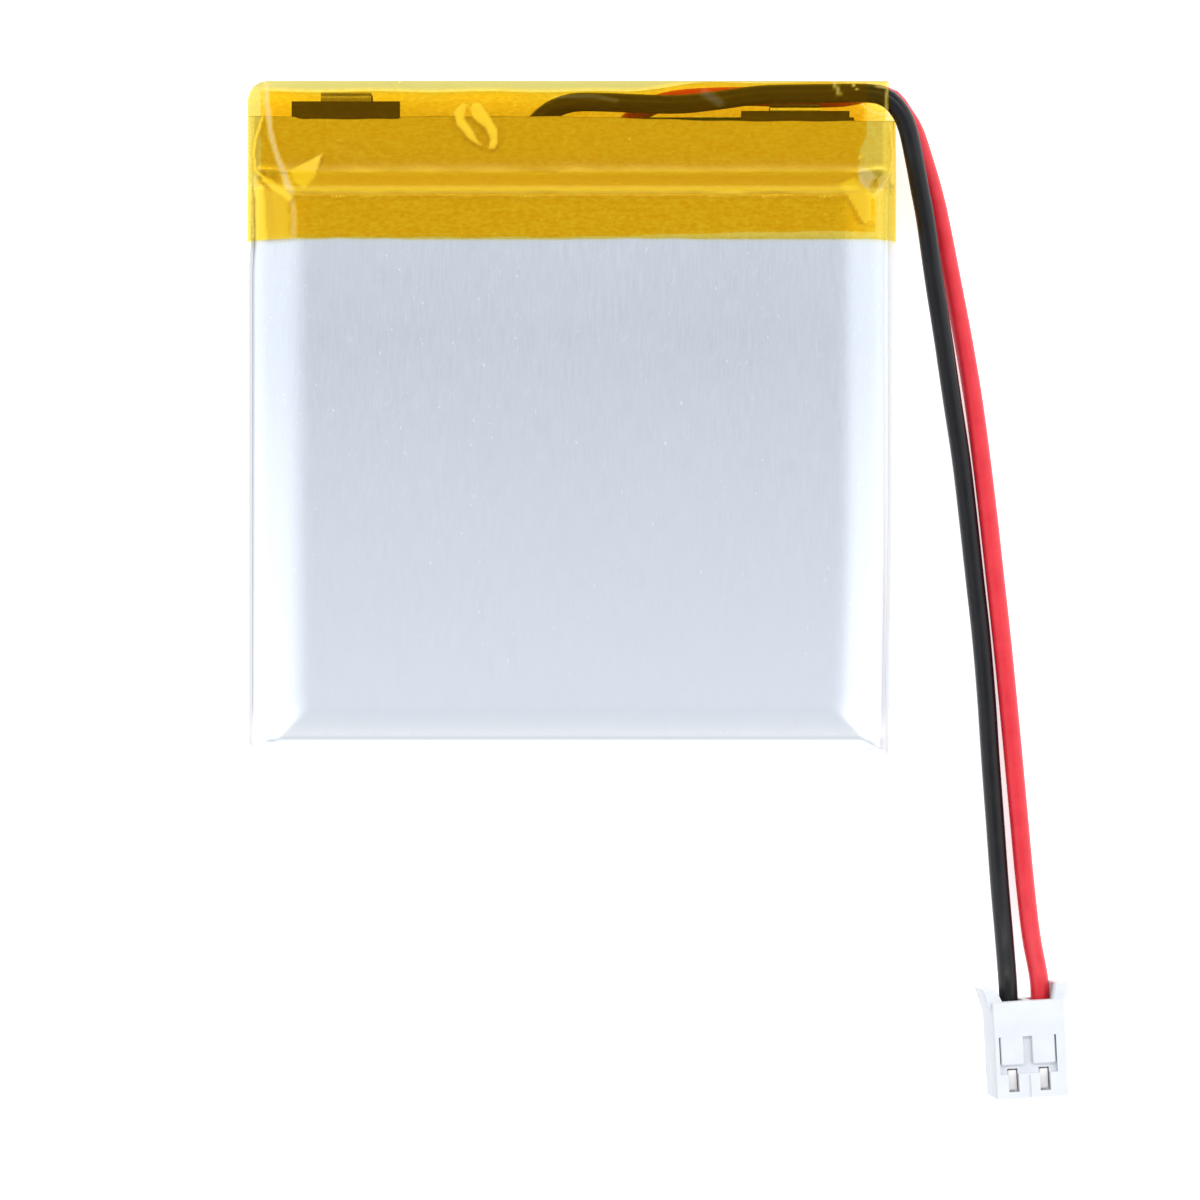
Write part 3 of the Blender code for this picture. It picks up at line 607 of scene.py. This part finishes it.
# Patches where the tape stands off what it covers, each with a painted highlight: outline, strength and
# whiteness.
PATCHES_AND_HIGHLIGHTS = [
    ([(-6.74, 19.55), (-7.24, 19.0), (-7.06, 18.2), (-6.37, 17.4), (-5.43, 16.85), (-5.95, 17.8),
      (-6.5, 18.6), (-6.4, 19.5)], 0.90, 0.50),
    ([(-6.12, 19.55), (-5.56, 19.6), (-4.99, 18.85), (-4.49, 17.95), (-4.43, 17.1), (-4.62, 16.7),
      (-5.12, 16.75), (-5.0, 17.3), (-5.3, 18.05), (-5.95, 18.65), (-6.24, 19.15)], 0.90, 0.50),
    ([(-15.43, 16.45), (-17.45, 15.4), (-17.15, 14.5), (-16.3, 14.0), (-15.85, 15.0)], 0.92, 0.47),
    ([(-19.5, 14.1), (-18.4, 13.9), (-17.4, 13.4), (-17.15, 10.0), (-19.5, 10.0)], 0.50, 0.45),
    ([(-19.1, 15.6), (-18.6, 15.3), (-18.45, 14.7), (-18.85, 14.75)], 0.45, 0.10),
    ([(18.15, 15.65), (18.75, 15.55), (19.25, 14.9), (18.75, 14.3), (18.55, 13.75), (18.1, 14.2)], 0.40, 1.0),
    ([(19.3, 14.8), (20.1, 15.4), (19.7, 14.0), (19.1, 13.55)], 0.40, 0.8),
    ([(16.8, 14.3), (17.9, 14.9), (18.3, 14.2), (19.1, 13.5), (19.1, 11.9), (18.3, 11.8), (17.5, 13.1)],
     0.60, 0.48),
    ([(-14.4, 17.25), (-14.3, 17.25), (-14.3, 17.35), (-14.4, 17.35)], 0.90, 1.0),
    ([(3.75, 17.28), (3.85, 17.28), (3.85, 17.38), (3.75, 17.38)], 0.90, 1.0),
    ([(18.2, 16.1), (18.4, 16.2), (18.35, 16.35), (18.15, 16.2)], 0.80, 1.0),
]
PATCH_SOFTNESS = 0.10


def along_segment(x, y, start, end):
    """(distance from the segment, share of the way along it)."""
    ax, ay = start
    bx, by = end
    length = (bx - ax) ** 2 + (by - ay) ** 2
    t = min(1.0, max(0.0, ((x - ax) * (bx - ax) + (y - ay) * (by - ay)) / length))
    return math.hypot(x - ax - t * (bx - ax), y - ay - t * (by - ay)), t


def depth_inside(x, y, outline):
    """How deep a point lies in an outline, negative outside it."""
    nearest = 1e9
    inside = False
    for start, end in zip(outline, outline[1:] + outline[:1]):
        nearest = min(nearest, along_segment(x, y, start, end)[0])
        if (start[1] > y) != (end[1] > y):
            inside ^= x < start[0] + (y - start[1]) * (end[0] - start[0]) / (end[1] - start[1])
    return nearest if inside else -nearest


def bridge_highlights(x, y):
    """(shine, whiteness) of the painted highlights where the tape spans from the broad face down to the
    terrace: bands at its foot and crest, a glint line and the slope.
    """
    inside = smoothstep(19.3, 17.6, abs(x))
    along = 0.5 + noise.noise(Vector((x * 0.35, y * 0.8, 4.0)))
    foot = math.exp(-(((y - BRIDGE_FOOT) / (0.45 if y > BRIDGE_FOOT else 0.22)) ** 2))
    crest = math.exp(-(((y - BRIDGE_CREST) / (0.35 if y > BRIDGE_CREST else 0.25)) ** 2))
    glint = math.exp(-(((y - BRIDGE_GLINT - 0.04 * math.sin(x)) / 0.05) ** 2))
    glint *= smoothstep(-0.1, 0.35, noise.noise(Vector((x * 0.6, 2.0, 7.0)))) * (0.6 + 0.4 * math.sin(x * 23))
    slope = smoothstep(13.65, 13.95, y) * smoothstep(15.4, 15.0, y)
    shine = max(0.85 * slope, (0.45 + 0.35 * along) * foot, (0.45 + 0.30 * along) * crest, 0.7 * glint)
    highlight_white = max(0.34 * foot, 0.38 * crest, 0.75 * glint)
    return inside * shine, highlight_white


def crease_values(x, y):
    """(shine and whiteness of the painted highlights, and height) that the creases and patches give a point
    of the tape's front.
    """
    wander = 0.10 * noise.noise(Vector((x * 1.1, y * 1.1, 2.0)))
    shine, highlight_white = bridge_highlights(x, y + 0.5 * wander)
    height = 0.0
    for points, width, strength, whiteness, rise in CREASES_AND_HIGHLIGHTS:
        nearest = min(along_segment(x + wander, y, *pair)[0] for pair in zip(points, points[1:]))
        if nearest > 2.2 * width:
            continue
        here = strength * smoothstep(1.35 * width, 0.3 * width, nearest)
        height += rise * math.exp(-((nearest / width) ** 2))
        if strength > 0.3 or here > shine:
            highlight_white += (whiteness - highlight_white) * min(1.0, here / strength)
        shine = max(shine, here)
    for outline, strength, whiteness in PATCHES_AND_HIGHLIGHTS:
        if abs(x - outline[0][0]) + abs(y - outline[0][1]) > 6.0:
            continue
        depth = depth_inside(x + wander, y, outline)
        here = strength * smoothstep(-PATCH_SOFTNESS, PATCH_SOFTNESS, depth)
        height += 0.05 * smoothstep(0.0, 0.3, depth)
        highlight_white += (whiteness - highlight_white) * here / strength
        shine = max(shine, here)
    return shine, highlight_white, height


def tape_profile(off):
    """(y, height over the seal plane, depth under it, side radius) along the cell."""
    rise = CUP_RISE + FILM / 2 + off
    return [
        (TAPE_FRONT_EDGE, rise, rise, 4.32),
        (12.4, rise, rise, 4.32),
        (CUP_TOP - 0.35, rise, rise, 4.3),
        (CUP_TOP + off, rise - 0.06, rise - 0.03, 4.25),
        (CUP_TOP + 0.35 + off, rise - 0.40, rise - 0.15, 3.8),
        (14.45 + off, 2.35, 3.55 + off, 3.1),
        (14.95 + off, 1.05, 3.3 + off, 2.4),
        (15.35 + off, 0.62 + off, 3.20 + off, 1.8),
        (17.0, 0.50 + off, 3.20 + off, 1.0),
        (18.7, 0.60 + off, 3.20 + off, 0.8),
        (19.5, 0.95 + off, 3.20 + off, 0.5),
        (19.9, 1.0 + off, 3.18 + off, 0.5),
        (20.4, 1.0 + off, 3.05 + off, 0.5),
        (20.6 + 0.7 * off, 0.93 + off, 2.6 + off, 0.5),
        (20.8 + off, 0.6, 1.6, 0.6),
        (20.85 + off, 0.0, 0.0, 0.9),
    ]


def at_y(profile, y, item):
    """A profile's value at y, straight between its rows."""
    for here, after in zip(profile, profile[1:]):
        if y <= after[0]:
            t = max(0.0, (y - here[0]) / (after[0] - here[0]))
            return here[item] + (after[item] - here[item]) * t
    return profile[-1][item]


def tape_surface(name, off, look, edge, columns, nose_at, creased, dropped):
    """A tape over the front, round the end and over the back, as a fine grid with columns at the given X.

    A column past the tape's half width, which is rounded at the left corner, is brought in to it.
    """
    profile = tape_profile(off)
    full = catmull_rom([(y, up, down) for y, up, down, _ in profile], TAPE_ROW)
    nose = profile[-1][0]

    def half_width(y, side):
        if side > 0:
            return TAPE_RIGHT
        along = min(TAPE_CORNER, max(0.0, y - (nose - TAPE_CORNER)))
        return TAPE_LEFT - TAPE_CORNER + math.sqrt(TAPE_CORNER ** 2 - along ** 2)

    def place(x, y, height, front):
        limit = half_width(y, x)
        side = at_y(profile, y, 3)
        x = math.copysign(min(abs(x), limit), x)
        flat = (TAPE_RIGHT if x > 0 else TAPE_LEFT) - side
        beyond = min(1.0, max(0.0, abs(x) - flat) / (side + off - OUTER_TAPE_OFF))
        if abs(x) >= limit - 1e-6 or beyond > 0.999:
            beyond = 1.0
        share = (1 - beyond ** SIDE_SQUARENESS) ** (1 / SIDE_SQUARENESS)
        z = SEAL_Z + (height if front else -height) * share
        if y > NOSE_START:
            y = NOSE_START + (y - NOSE_START) * nose_at(x)
        y = max(y, edge(x))
        if front:
            ripple = 0.018 * noise.noise(Vector((x * 0.55, y * 0.7, 5.0 + off * 9)))
            ripple += 0.030 * noise.noise(Vector((x * 0.16, y * 1.5, 8.0))) * smoothstep(13.0, 15.0, y)
            if creased:
                ripple += crease_values(x, y)[2]
            z += ripple * share * smoothstep(0.0, 0.4, height)
            if y < TERRACE_END:
                z = max(z, film_top(x, y) + off * 0.6 + TAPE / 2 + 0.02)
        return (x, min(y, TAPE_NOSE), z)

    front = [[place(x, y, up, True) for x in columns] for y, up, _ in full]
    back_rows = full[::ROWS_PER_BACK_ROW] + full[-1:]
    back = [[place(x, y, down, False) for x in columns] for y, _, down in back_rows]
    tape = grid_object(name, front + back[-2::-1], look, dropped)
    if creased:
        # The creases' and patches' painted highlights, for the material to read.
        spots = [(vertex.co / MM)[:2] for vertex in tape.data.vertices]
        on_front = [vertex.co.z / MM > SEAL_Z for vertex in tape.data.vertices]
        values = [crease_values(*spot) if here else (0, 0, 0) for spot, here in zip(spots, on_front)]
        store(tape, "shine", [value[0] for value in values])
        store(tape, "highlight_white", [value[1] for value in values])
        # The outer tape's paler tint past the inner tape, with its painted shadow.
        store(tape, "pale", [beyond_inner_tape(*spot) for spot in spots])
    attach(tape, "root")
    return tape


def inner_nose(x):
    """How much of the outer tape's overhang the inner tape fills: all of it only round the leads."""
    return 0.70 + 0.30 * smoothstep(3.0, 9.0, x) + 0.02 * math.sin(x * 0.9)


def beyond_inner_tape(x, y):
    """Where the outer tape is alone past the end of the cell. Its tint there is paler in blue and darker in
    red, a painted shadow of the floor beneath.
    """
    end = NOSE_START + (TAPE_NOSE - 0.1 - NOSE_START) * inner_nose(x)
    past_film = smoothstep(TERRACE_END - 0.1, TERRACE_END + 0.1, y)
    beside = smoothstep(INNER_LEFT + 0.05, INNER_LEFT - 0.05, x) * past_film
    past_inner = smoothstep(end - 0.1, end + 0.1, y) * smoothstep(8.5, 6.0, x)
    return max(0.6 * beside, past_inner, smoothstep(20.84, 20.92, y))


def lead_exit(point):
    """The outer tape leaves the end of its right side open for the leads."""
    return point.x > TAPE_RIGHT - 0.45 and point.y > TERRACE_END + 0.1


def outer_tape():
    """The tape over everything; its columns crowd together towards the sides, where it turns."""
    def edge(x):
        return TAPE_FRONT_EDGE + 0.05 * math.sin(x * 0.35) + 0.02 * math.sin(x * 2.1)

    columns = spread(-16.0, 16.0, 260)
    for side, half in ((-1, TAPE_LEFT), (1, TAPE_RIGHT)):
        beyond = [16.0 + (half - 16.0) * math.sin(math.radians(a)) for a in spread(0, 90, 34)] + [half]
        columns = columns + beyond if side > 0 else [-x for x in beyond[:0:-1]] + columns
    tape = tape_surface("outer_tape_detailed", OUTER_TAPE_OFF, OUTER_AMBER, edge, columns,
                        lambda x: 1.0, True, lead_exit)
    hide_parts("outer_tape")


def inner_tape():
    """The narrower tape under it, with a right edge that wanders in and out."""
    def edge(x):
        return TAPE_FRONT_EDGE + 0.15 + 0.35 * smoothstep(-2.0, 16.0, x) + 0.03 * math.sin(x * 1.3)

    columns = spread(INNER_LEFT, INNER_RIGHT, 190) + [INNER_RIGHT]
    tape = tape_surface("inner_tape_detailed", INNER_TAPE_OFF, INNER_AMBER, edge, columns,
                        inner_nose, False, lambda point: False)
    # Past the film's end the inner tape's tint is a little paler, with painted shadow.
    store(tape, "pale", [0.3 * smoothstep(TERRACE_END - 0.15, TERRACE_END + 0.1, place.co.y / MM)
                         for place in tape.data.vertices])
    for place in tape.data.vertices:
        x, y = place.co.x / MM, place.co.y / MM
        inward = 0.45 * smoothstep(13.6, 15.0, y) * smoothstep(17.8, 16.4, y)
        outward = 0.40 * smoothstep(13.9, 13.2, y)
        place.co.x += (outward - inward) * smoothstep(16.0, INNER_RIGHT, x) * MM
    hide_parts("inner_tape")


# ---- Leads.


def plug_matrix():
    """From the plug's own frame to the scene's, in millimetres."""
    turn = Matrix.Rotation(math.radians(PLUG_TURN), 4, "Z")
    roll = Matrix.Rotation(math.radians(PLUG_ROLL), 4, "Y")
    return Matrix.Translation(Vector(PLUG_CENTRE)) @ turn @ roll


def in_plug(x, y, z):
    return tuple(plug_matrix() @ Vector((x, y, z)))


# The leads' routes in metres: from the tape's edge, down beside the cell, along the floor to the plug.
BLACK_ROUTE = [
    (0.0193, 0.0202, 0.0044), (0.02008, 0.01985, 0.0044), (0.0208, 0.01905, 0.00433),
    (0.02127, 0.01796, 0.0042), (0.02169, 0.0161, 0.0039), (0.02206, 0.01424, 0.00355),
    (0.02243, 0.01238, 0.0032), (0.02301, 0.00865, 0.00245), (0.02364, 0.00489, 0.0018),
    (0.02423, 0.00111, 0.00125), (0.02483, -0.00267, 0.00085), (0.02529, -0.00646, 0.00068),
    (0.02571, -0.01026, 0.00063), (0.02613, -0.01407, 0.00062), (0.02645, -0.01787, 0.00062),
    (0.0267, -0.02167, 0.00062), (0.02698, -0.02548, 0.00064), (0.02724, -0.02928, 0.00085),
    (0.0275, -0.0328, 0.00145),
]
RED_ROUTE = [
    (0.0193, 0.02033, 0.00315), (0.02035, 0.02, 0.00315), (0.02105, 0.0191, 0.00305),
    (0.02175, 0.01796, 0.00285), (0.02241, 0.01607, 0.0025), (0.02295, 0.01433, 0.00215),
    (0.02342, 0.01246, 0.0018), (0.0242, 0.00871, 0.0012), (0.02495, 0.00493, 0.00085),
    (0.0256, 0.00114, 0.00068), (0.02612, -0.00266, 0.00062), (0.02658, -0.00646, 0.00062),
    (0.027, -0.01026, 0.00062), (0.02742, -0.01407, 0.00062), (0.0278, -0.01787, 0.00062),
    (0.02816, -0.02167, 0.00062), (0.02851, -0.02548, 0.00062), (0.02885, -0.02928, 0.0008),
    (0.02922, -0.0328, 0.00135),
]
BLACK_TAPED = [
    (-0.0036, 0.0169, 0.00272), (-0.0029, 0.0177, 0.00274), (-0.0021, 0.0185, 0.00282),
    (-0.0012, 0.01925, 0.0031), (0.0002, 0.0197, 0.0038), (0.0022, 0.01968, 0.00435),
    (0.0046, 0.01958, 0.00445), (0.007, 0.01955, 0.00445), (0.0094, 0.0198, 0.00442),
    (0.012, 0.02014, 0.0044), (0.015, 0.02022, 0.0044), (0.0187, 0.02024, 0.0044),
    (0.0196, 0.0201, 0.0044),
]
RED_TAPED = [
    (0.0024, 0.0169, 0.00272), (0.003, 0.0177, 0.00272), (0.0038, 0.0186, 0.00276),
    (0.0048, 0.0194, 0.0029), (0.0064, 0.0199, 0.0031), (0.0086, 0.0201, 0.00315),
    (0.0115, 0.02015, 0.00315), (0.0145, 0.02005, 0.00315), (0.0172, 0.0201, 0.00315),
    (0.0187, 0.02036, 0.00315), (0.0198, 0.0202, 0.00315),
]
LEAD_END = 1.05
LEADS = {
    "black": (BLACK_ROUTE, BLACK_TAPED, -CONTACT_PITCH / 2, BLACK_PVC),
    "red": (RED_ROUTE, RED_TAPED, CONTACT_PITCH / 2, RED_PVC),
}


def wire(name, points, look):
    """A round lead on a smooth curve through the points, which are in millimetres."""
    curve = bpy.data.curves.new(name, "CURVE")
    curve.dimensions = "3D"
    curve.bevel_depth = LEAD_RADIUS * MM
    curve.bevel_resolution = 6
    curve.use_fill_caps = True
    path = catmull_rom(points, 0.5)
    spline = curve.splines.new("POLY")
    spline.points.add(len(path) - 1)
    for place, point in zip(spline.points, path):
        place.co = (*(point * MM), 1.0)
    spline.use_smooth = True
    curve.materials.append(look)
    length = sum((b - a).length for a, b in zip(path, path[1:]))
    return link(bpy.data.objects.new(name, curve)), length * MM


def leads(with_pieces):
    """Each lead's free stretch, as a cord, and its stretch under the tape."""
    for colour, (route, taped, across, look) in LEADS.items():
        points = [Vector(p) / MM for p in route]
        points += [in_plug(across, y, 0) for y in (4.2, 2.8, LEAD_END)]
        lead, length = wire(f"{colour}_lead_detailed", points, look)
        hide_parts(f"{colour}_lead")
        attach(lead, "root")
        hidden, _ = wire(f"{colour}_lead_under_tape_detailed", [Vector(p) / MM for p in taped], look)
        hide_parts(f"{colour}_lead_under_tape")
        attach(hidden, "root")


# ---- The plug, in its own frame: X across, +Y towards the leads, +Z out of its latch side.


def brick(low, high, bevel=0.0):
    """A box between two corners, as its own object."""
    bm = bmesh.new()
    bmesh.ops.create_cube(bm, size=1.0)
    size = Vector(high) - Vector(low)
    centre = (Vector(high) + Vector(low)) / 2
    bmesh.ops.scale(bm, vec=size * MM, verts=bm.verts)
    bmesh.ops.translate(bm, vec=centre * MM, verts=bm.verts)
    if bevel:
        bmesh.ops.bevel(bm, geom=bm.edges[:], offset=bevel * MM, segments=3, profile=0.5, affect="EDGES")
    mesh = bpy.data.meshes.new("brick")
    bm.to_mesh(mesh)
    bm.free()
    return link(bpy.data.objects.new("brick", mesh))


def carve(obj, other, operation="DIFFERENCE"):
    """Cuts or joins another object for good, and removes it."""
    change = obj.modifiers.new("carve", "BOOLEAN")
    change.operation = operation
    change.object = other
    graph = bpy.context.evaluated_depsgraph_get()
    mesh = bpy.data.meshes.new_from_object(obj.evaluated_get(graph))
    obj.modifiers.clear()
    old = obj.data
    obj.data = mesh
    bpy.data.meshes.remove(old)
    bpy.data.objects.remove(other, do_unlink=True)


def horn(side):
    """The flared guide at one side of the wire entry: pointed on the left, rounded on the right."""
    obj = brick((-0.55, 2.0, -1.7), (0.55, 3.70 if side < 0 else 3.95, 1.5), 0.10 if side < 0 else 0.34)
    for vertex in obj.data.vertices:
        rise = smoothstep(2.0, 4.0, vertex.co.y / MM)
        narrowed = 1.0 - (0.20 if side < 0 else 0.0) * rise
        vertex.co.x = vertex.co.x * narrowed * side + side * (1.85 + (0.62 if side < 0 else 0.36) * rise) * MM
        if side < 0:
            vertex.co.y += (-vertex.co.x / MM - 2.4) * 0.10 * rise * MM
    if side < 0:
        obj.data.flip_normals()
    return obj


def settle(obj, name, look, bevel):
    """Names a finished plug piece, softens its edges and puts it in its place."""
    obj.name = name
    obj.data.name = name
    obj.data.materials.clear()
    obj.data.materials.append(look)
    edge = obj.modifiers.new("edges", "BEVEL")
    edge.width = bevel * MM
    edge.segments = 3
    edge.limit_method = "ANGLE"
    edge.angle_limit = math.radians(40)
    edge.use_clamp_overlap = True
    matrix = plug_matrix()
    matrix.translation = matrix.translation * MM
    obj.matrix_world = matrix
    obj.data.shade_smooth()
    obj.data.set_sharp_from_angle(angle=math.radians(40))
    return obj


def plug_housing():
    """A moulded housing: body, flared horns, a recess with two latch tongues, slots and cavities."""
    body = brick((-2.4, -3.2, -1.9), (2.25, 2.9, 1.9), 0.16)
    for side in (-1, 1):
        carve(body, horn(side), "UNION")
    middle = LATCH_SHIFT
    carve(body, brick((middle - 1.82, -1.62, 1.52), (middle + 1.82, 0.72, 2.6)))
    for x in (-CONTACT_PITCH / 2, CONTACT_PITCH / 2):
        carve(body, brick((x - 0.8, -4.0, -0.95), (x + 0.8, 4.0, 0.95)))
        x += middle
        carve(body, brick((x - 0.33, -2.75, 0.6), (x + 0.33, -1.3, 2.6)))
        tongue = brick((x - 0.74, -1.05, 1.2), (x + 0.74, 1.1, 1.88), 0.12)
        carve(body, tongue, "UNION")
    carve(body, brick((middle - 0.07, -3.6, 1.84), (middle + 0.07, -1.75, 2.2)))
    # Painted shade on the housing's left-facing sides, darker than its top.
    painted_side_shade = body.data.attributes.new("painted_side_shade", "FLOAT", "FACE")
    painted_side_shade.data.foreach_set("value", [smoothstep(-0.5, -0.9, face.normal.x) for face in body.data.polygons])
    return settle(body, "plug_housing_detailed", NYLON, 0.05)


def crimp_terminal(colour, across):
    """A folded contact: open box with a seam and a spring window, neck, wire crimp and grip."""
    body = brick((across - 0.68, -3.1, -0.78), (across + 0.68, -0.55, 0.82), 0.08)
    carve(body, brick((across - 0.56, -3.6, -0.66), (across + 0.56, -0.75, 0.68)))
    carve(body, brick((across - 0.05, -3.6, 0.5), (across + 0.05, -0.4, 1.2)))
    carve(body, brick((across - 0.22, -2.2, -1.2), (across + 0.22, -1.2, -0.4)))
    carve(body, brick((across - 0.45, -0.9, -0.74), (across + 0.45, 0.1, -0.30)), "UNION")
    carve(body, brick((across - 0.52, -0.45, -0.72), (across + 0.52, 0.95, 0.50), 0.14), "UNION")
    carve(body, brick((across - 0.31, -0.75, -0.31), (across + 0.31, 1.4, 0.31)))
    middle = across + LATCH_SHIFT
    carve(body, brick((middle - 0.28, -2.65, 0.7), (middle + 0.28, -1.4, 1.4), 0.06), "UNION")
    return settle(body, f"{colour}_crimp_terminal_detailed", TINNED, 0.02)


def plug():
    """The plug and its terminals; returns what goes with each lead."""
    housing = plug_housing()
    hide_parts("plug_housing")
    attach(housing, "root")
    with_pieces = {"black": [], "red": [housing]}
    for colour, (_, _, across, _) in LEADS.items():
        contact = crimp_terminal(colour, across)
        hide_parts(f"{colour}_crimp_terminal")
        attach(contact, "root")
        with_pieces[colour] += [contact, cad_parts[f"{colour}_conductor_at_plug"]]
    return with_pieces


# ---- Stage, light and camera.


def floor():
    """A pale floor that gives off some light of its own, so that it stays plain."""
    bm = bmesh.new()
    bmesh.ops.create_grid(bm, x_segments=1, y_segments=1, size=1.5)
    look = Look("floor")
    shader = look.principled(Roughness=0.9, Emission_Strength=0.60)
    shader.inputs["Base Color"].default_value = (0.93, 0.93, 0.93, 1.0)
    shader.inputs["Emission Color"].default_value = (1.0, 1.0, 1.0, 1.0)
    object_from(bm, "floor", look.done(shader))


def softbox(name, place, size, power):
    """A rectangular light, in metres and watts, that faces the cell."""
    light = bpy.data.lights.new(name, "AREA")
    light.shape = "RECTANGLE"
    light.size, light.size_y = size
    light.energy = power
    obj = link(bpy.data.objects.new(name, light))
    obj.location = place
    obj.rotation_euler = (Vector(place) - Vector((0, -0.01, 0))).to_track_quat("Z", "Y").to_euler()


def lights():
    world = bpy.data.worlds.new("studio")
    world.use_nodes = True
    world.node_tree.nodes["Background"].inputs["Color"].default_value = (0.93, 0.96, 1.0, 1.0)
    world.node_tree.nodes["Background"].inputs["Strength"].default_value = 0.62
    bpy.context.scene.world = world
    softbox("left_softbox", (-0.45, 0.05, 0.22), (0.5, 0.7), 1.0)
    softbox("right_softbox", (0.45, 0.05, 0.22), (0.5, 0.7), 1.0)
    softbox("front_softbox", (0.0, -0.5, 0.25), (0.7, 0.35), 0.80)
    softbox("top_strip", (0.0, 0.30, 0.60), (0.9, 0.10), 1.6)


# The camera looks straight down. These are in metres.
CAMERA_HEIGHT = 0.350
VIEW_CENTRE = (0.001946, -0.011532)
VIEW_WIDTH = 0.0762
SENSOR_WIDTH = 36.0


def camera():
    data = bpy.data.cameras.new("camera")
    data.sensor_width = SENSOR_WIDTH
    data.lens = SENSOR_WIDTH * CAMERA_HEIGHT / VIEW_WIDTH
    obj = link(bpy.data.objects.new("camera", data))
    obj.location = (*VIEW_CENTRE, CAMERA_HEIGHT)
    bpy.context.scene.camera = obj


camera()
bpy.context.scene.view_settings.view_transform = "Standard"
lights()
floor()
dress_nodes()
leads(plug())
pouch_film()
inner_tape()
outer_tape()
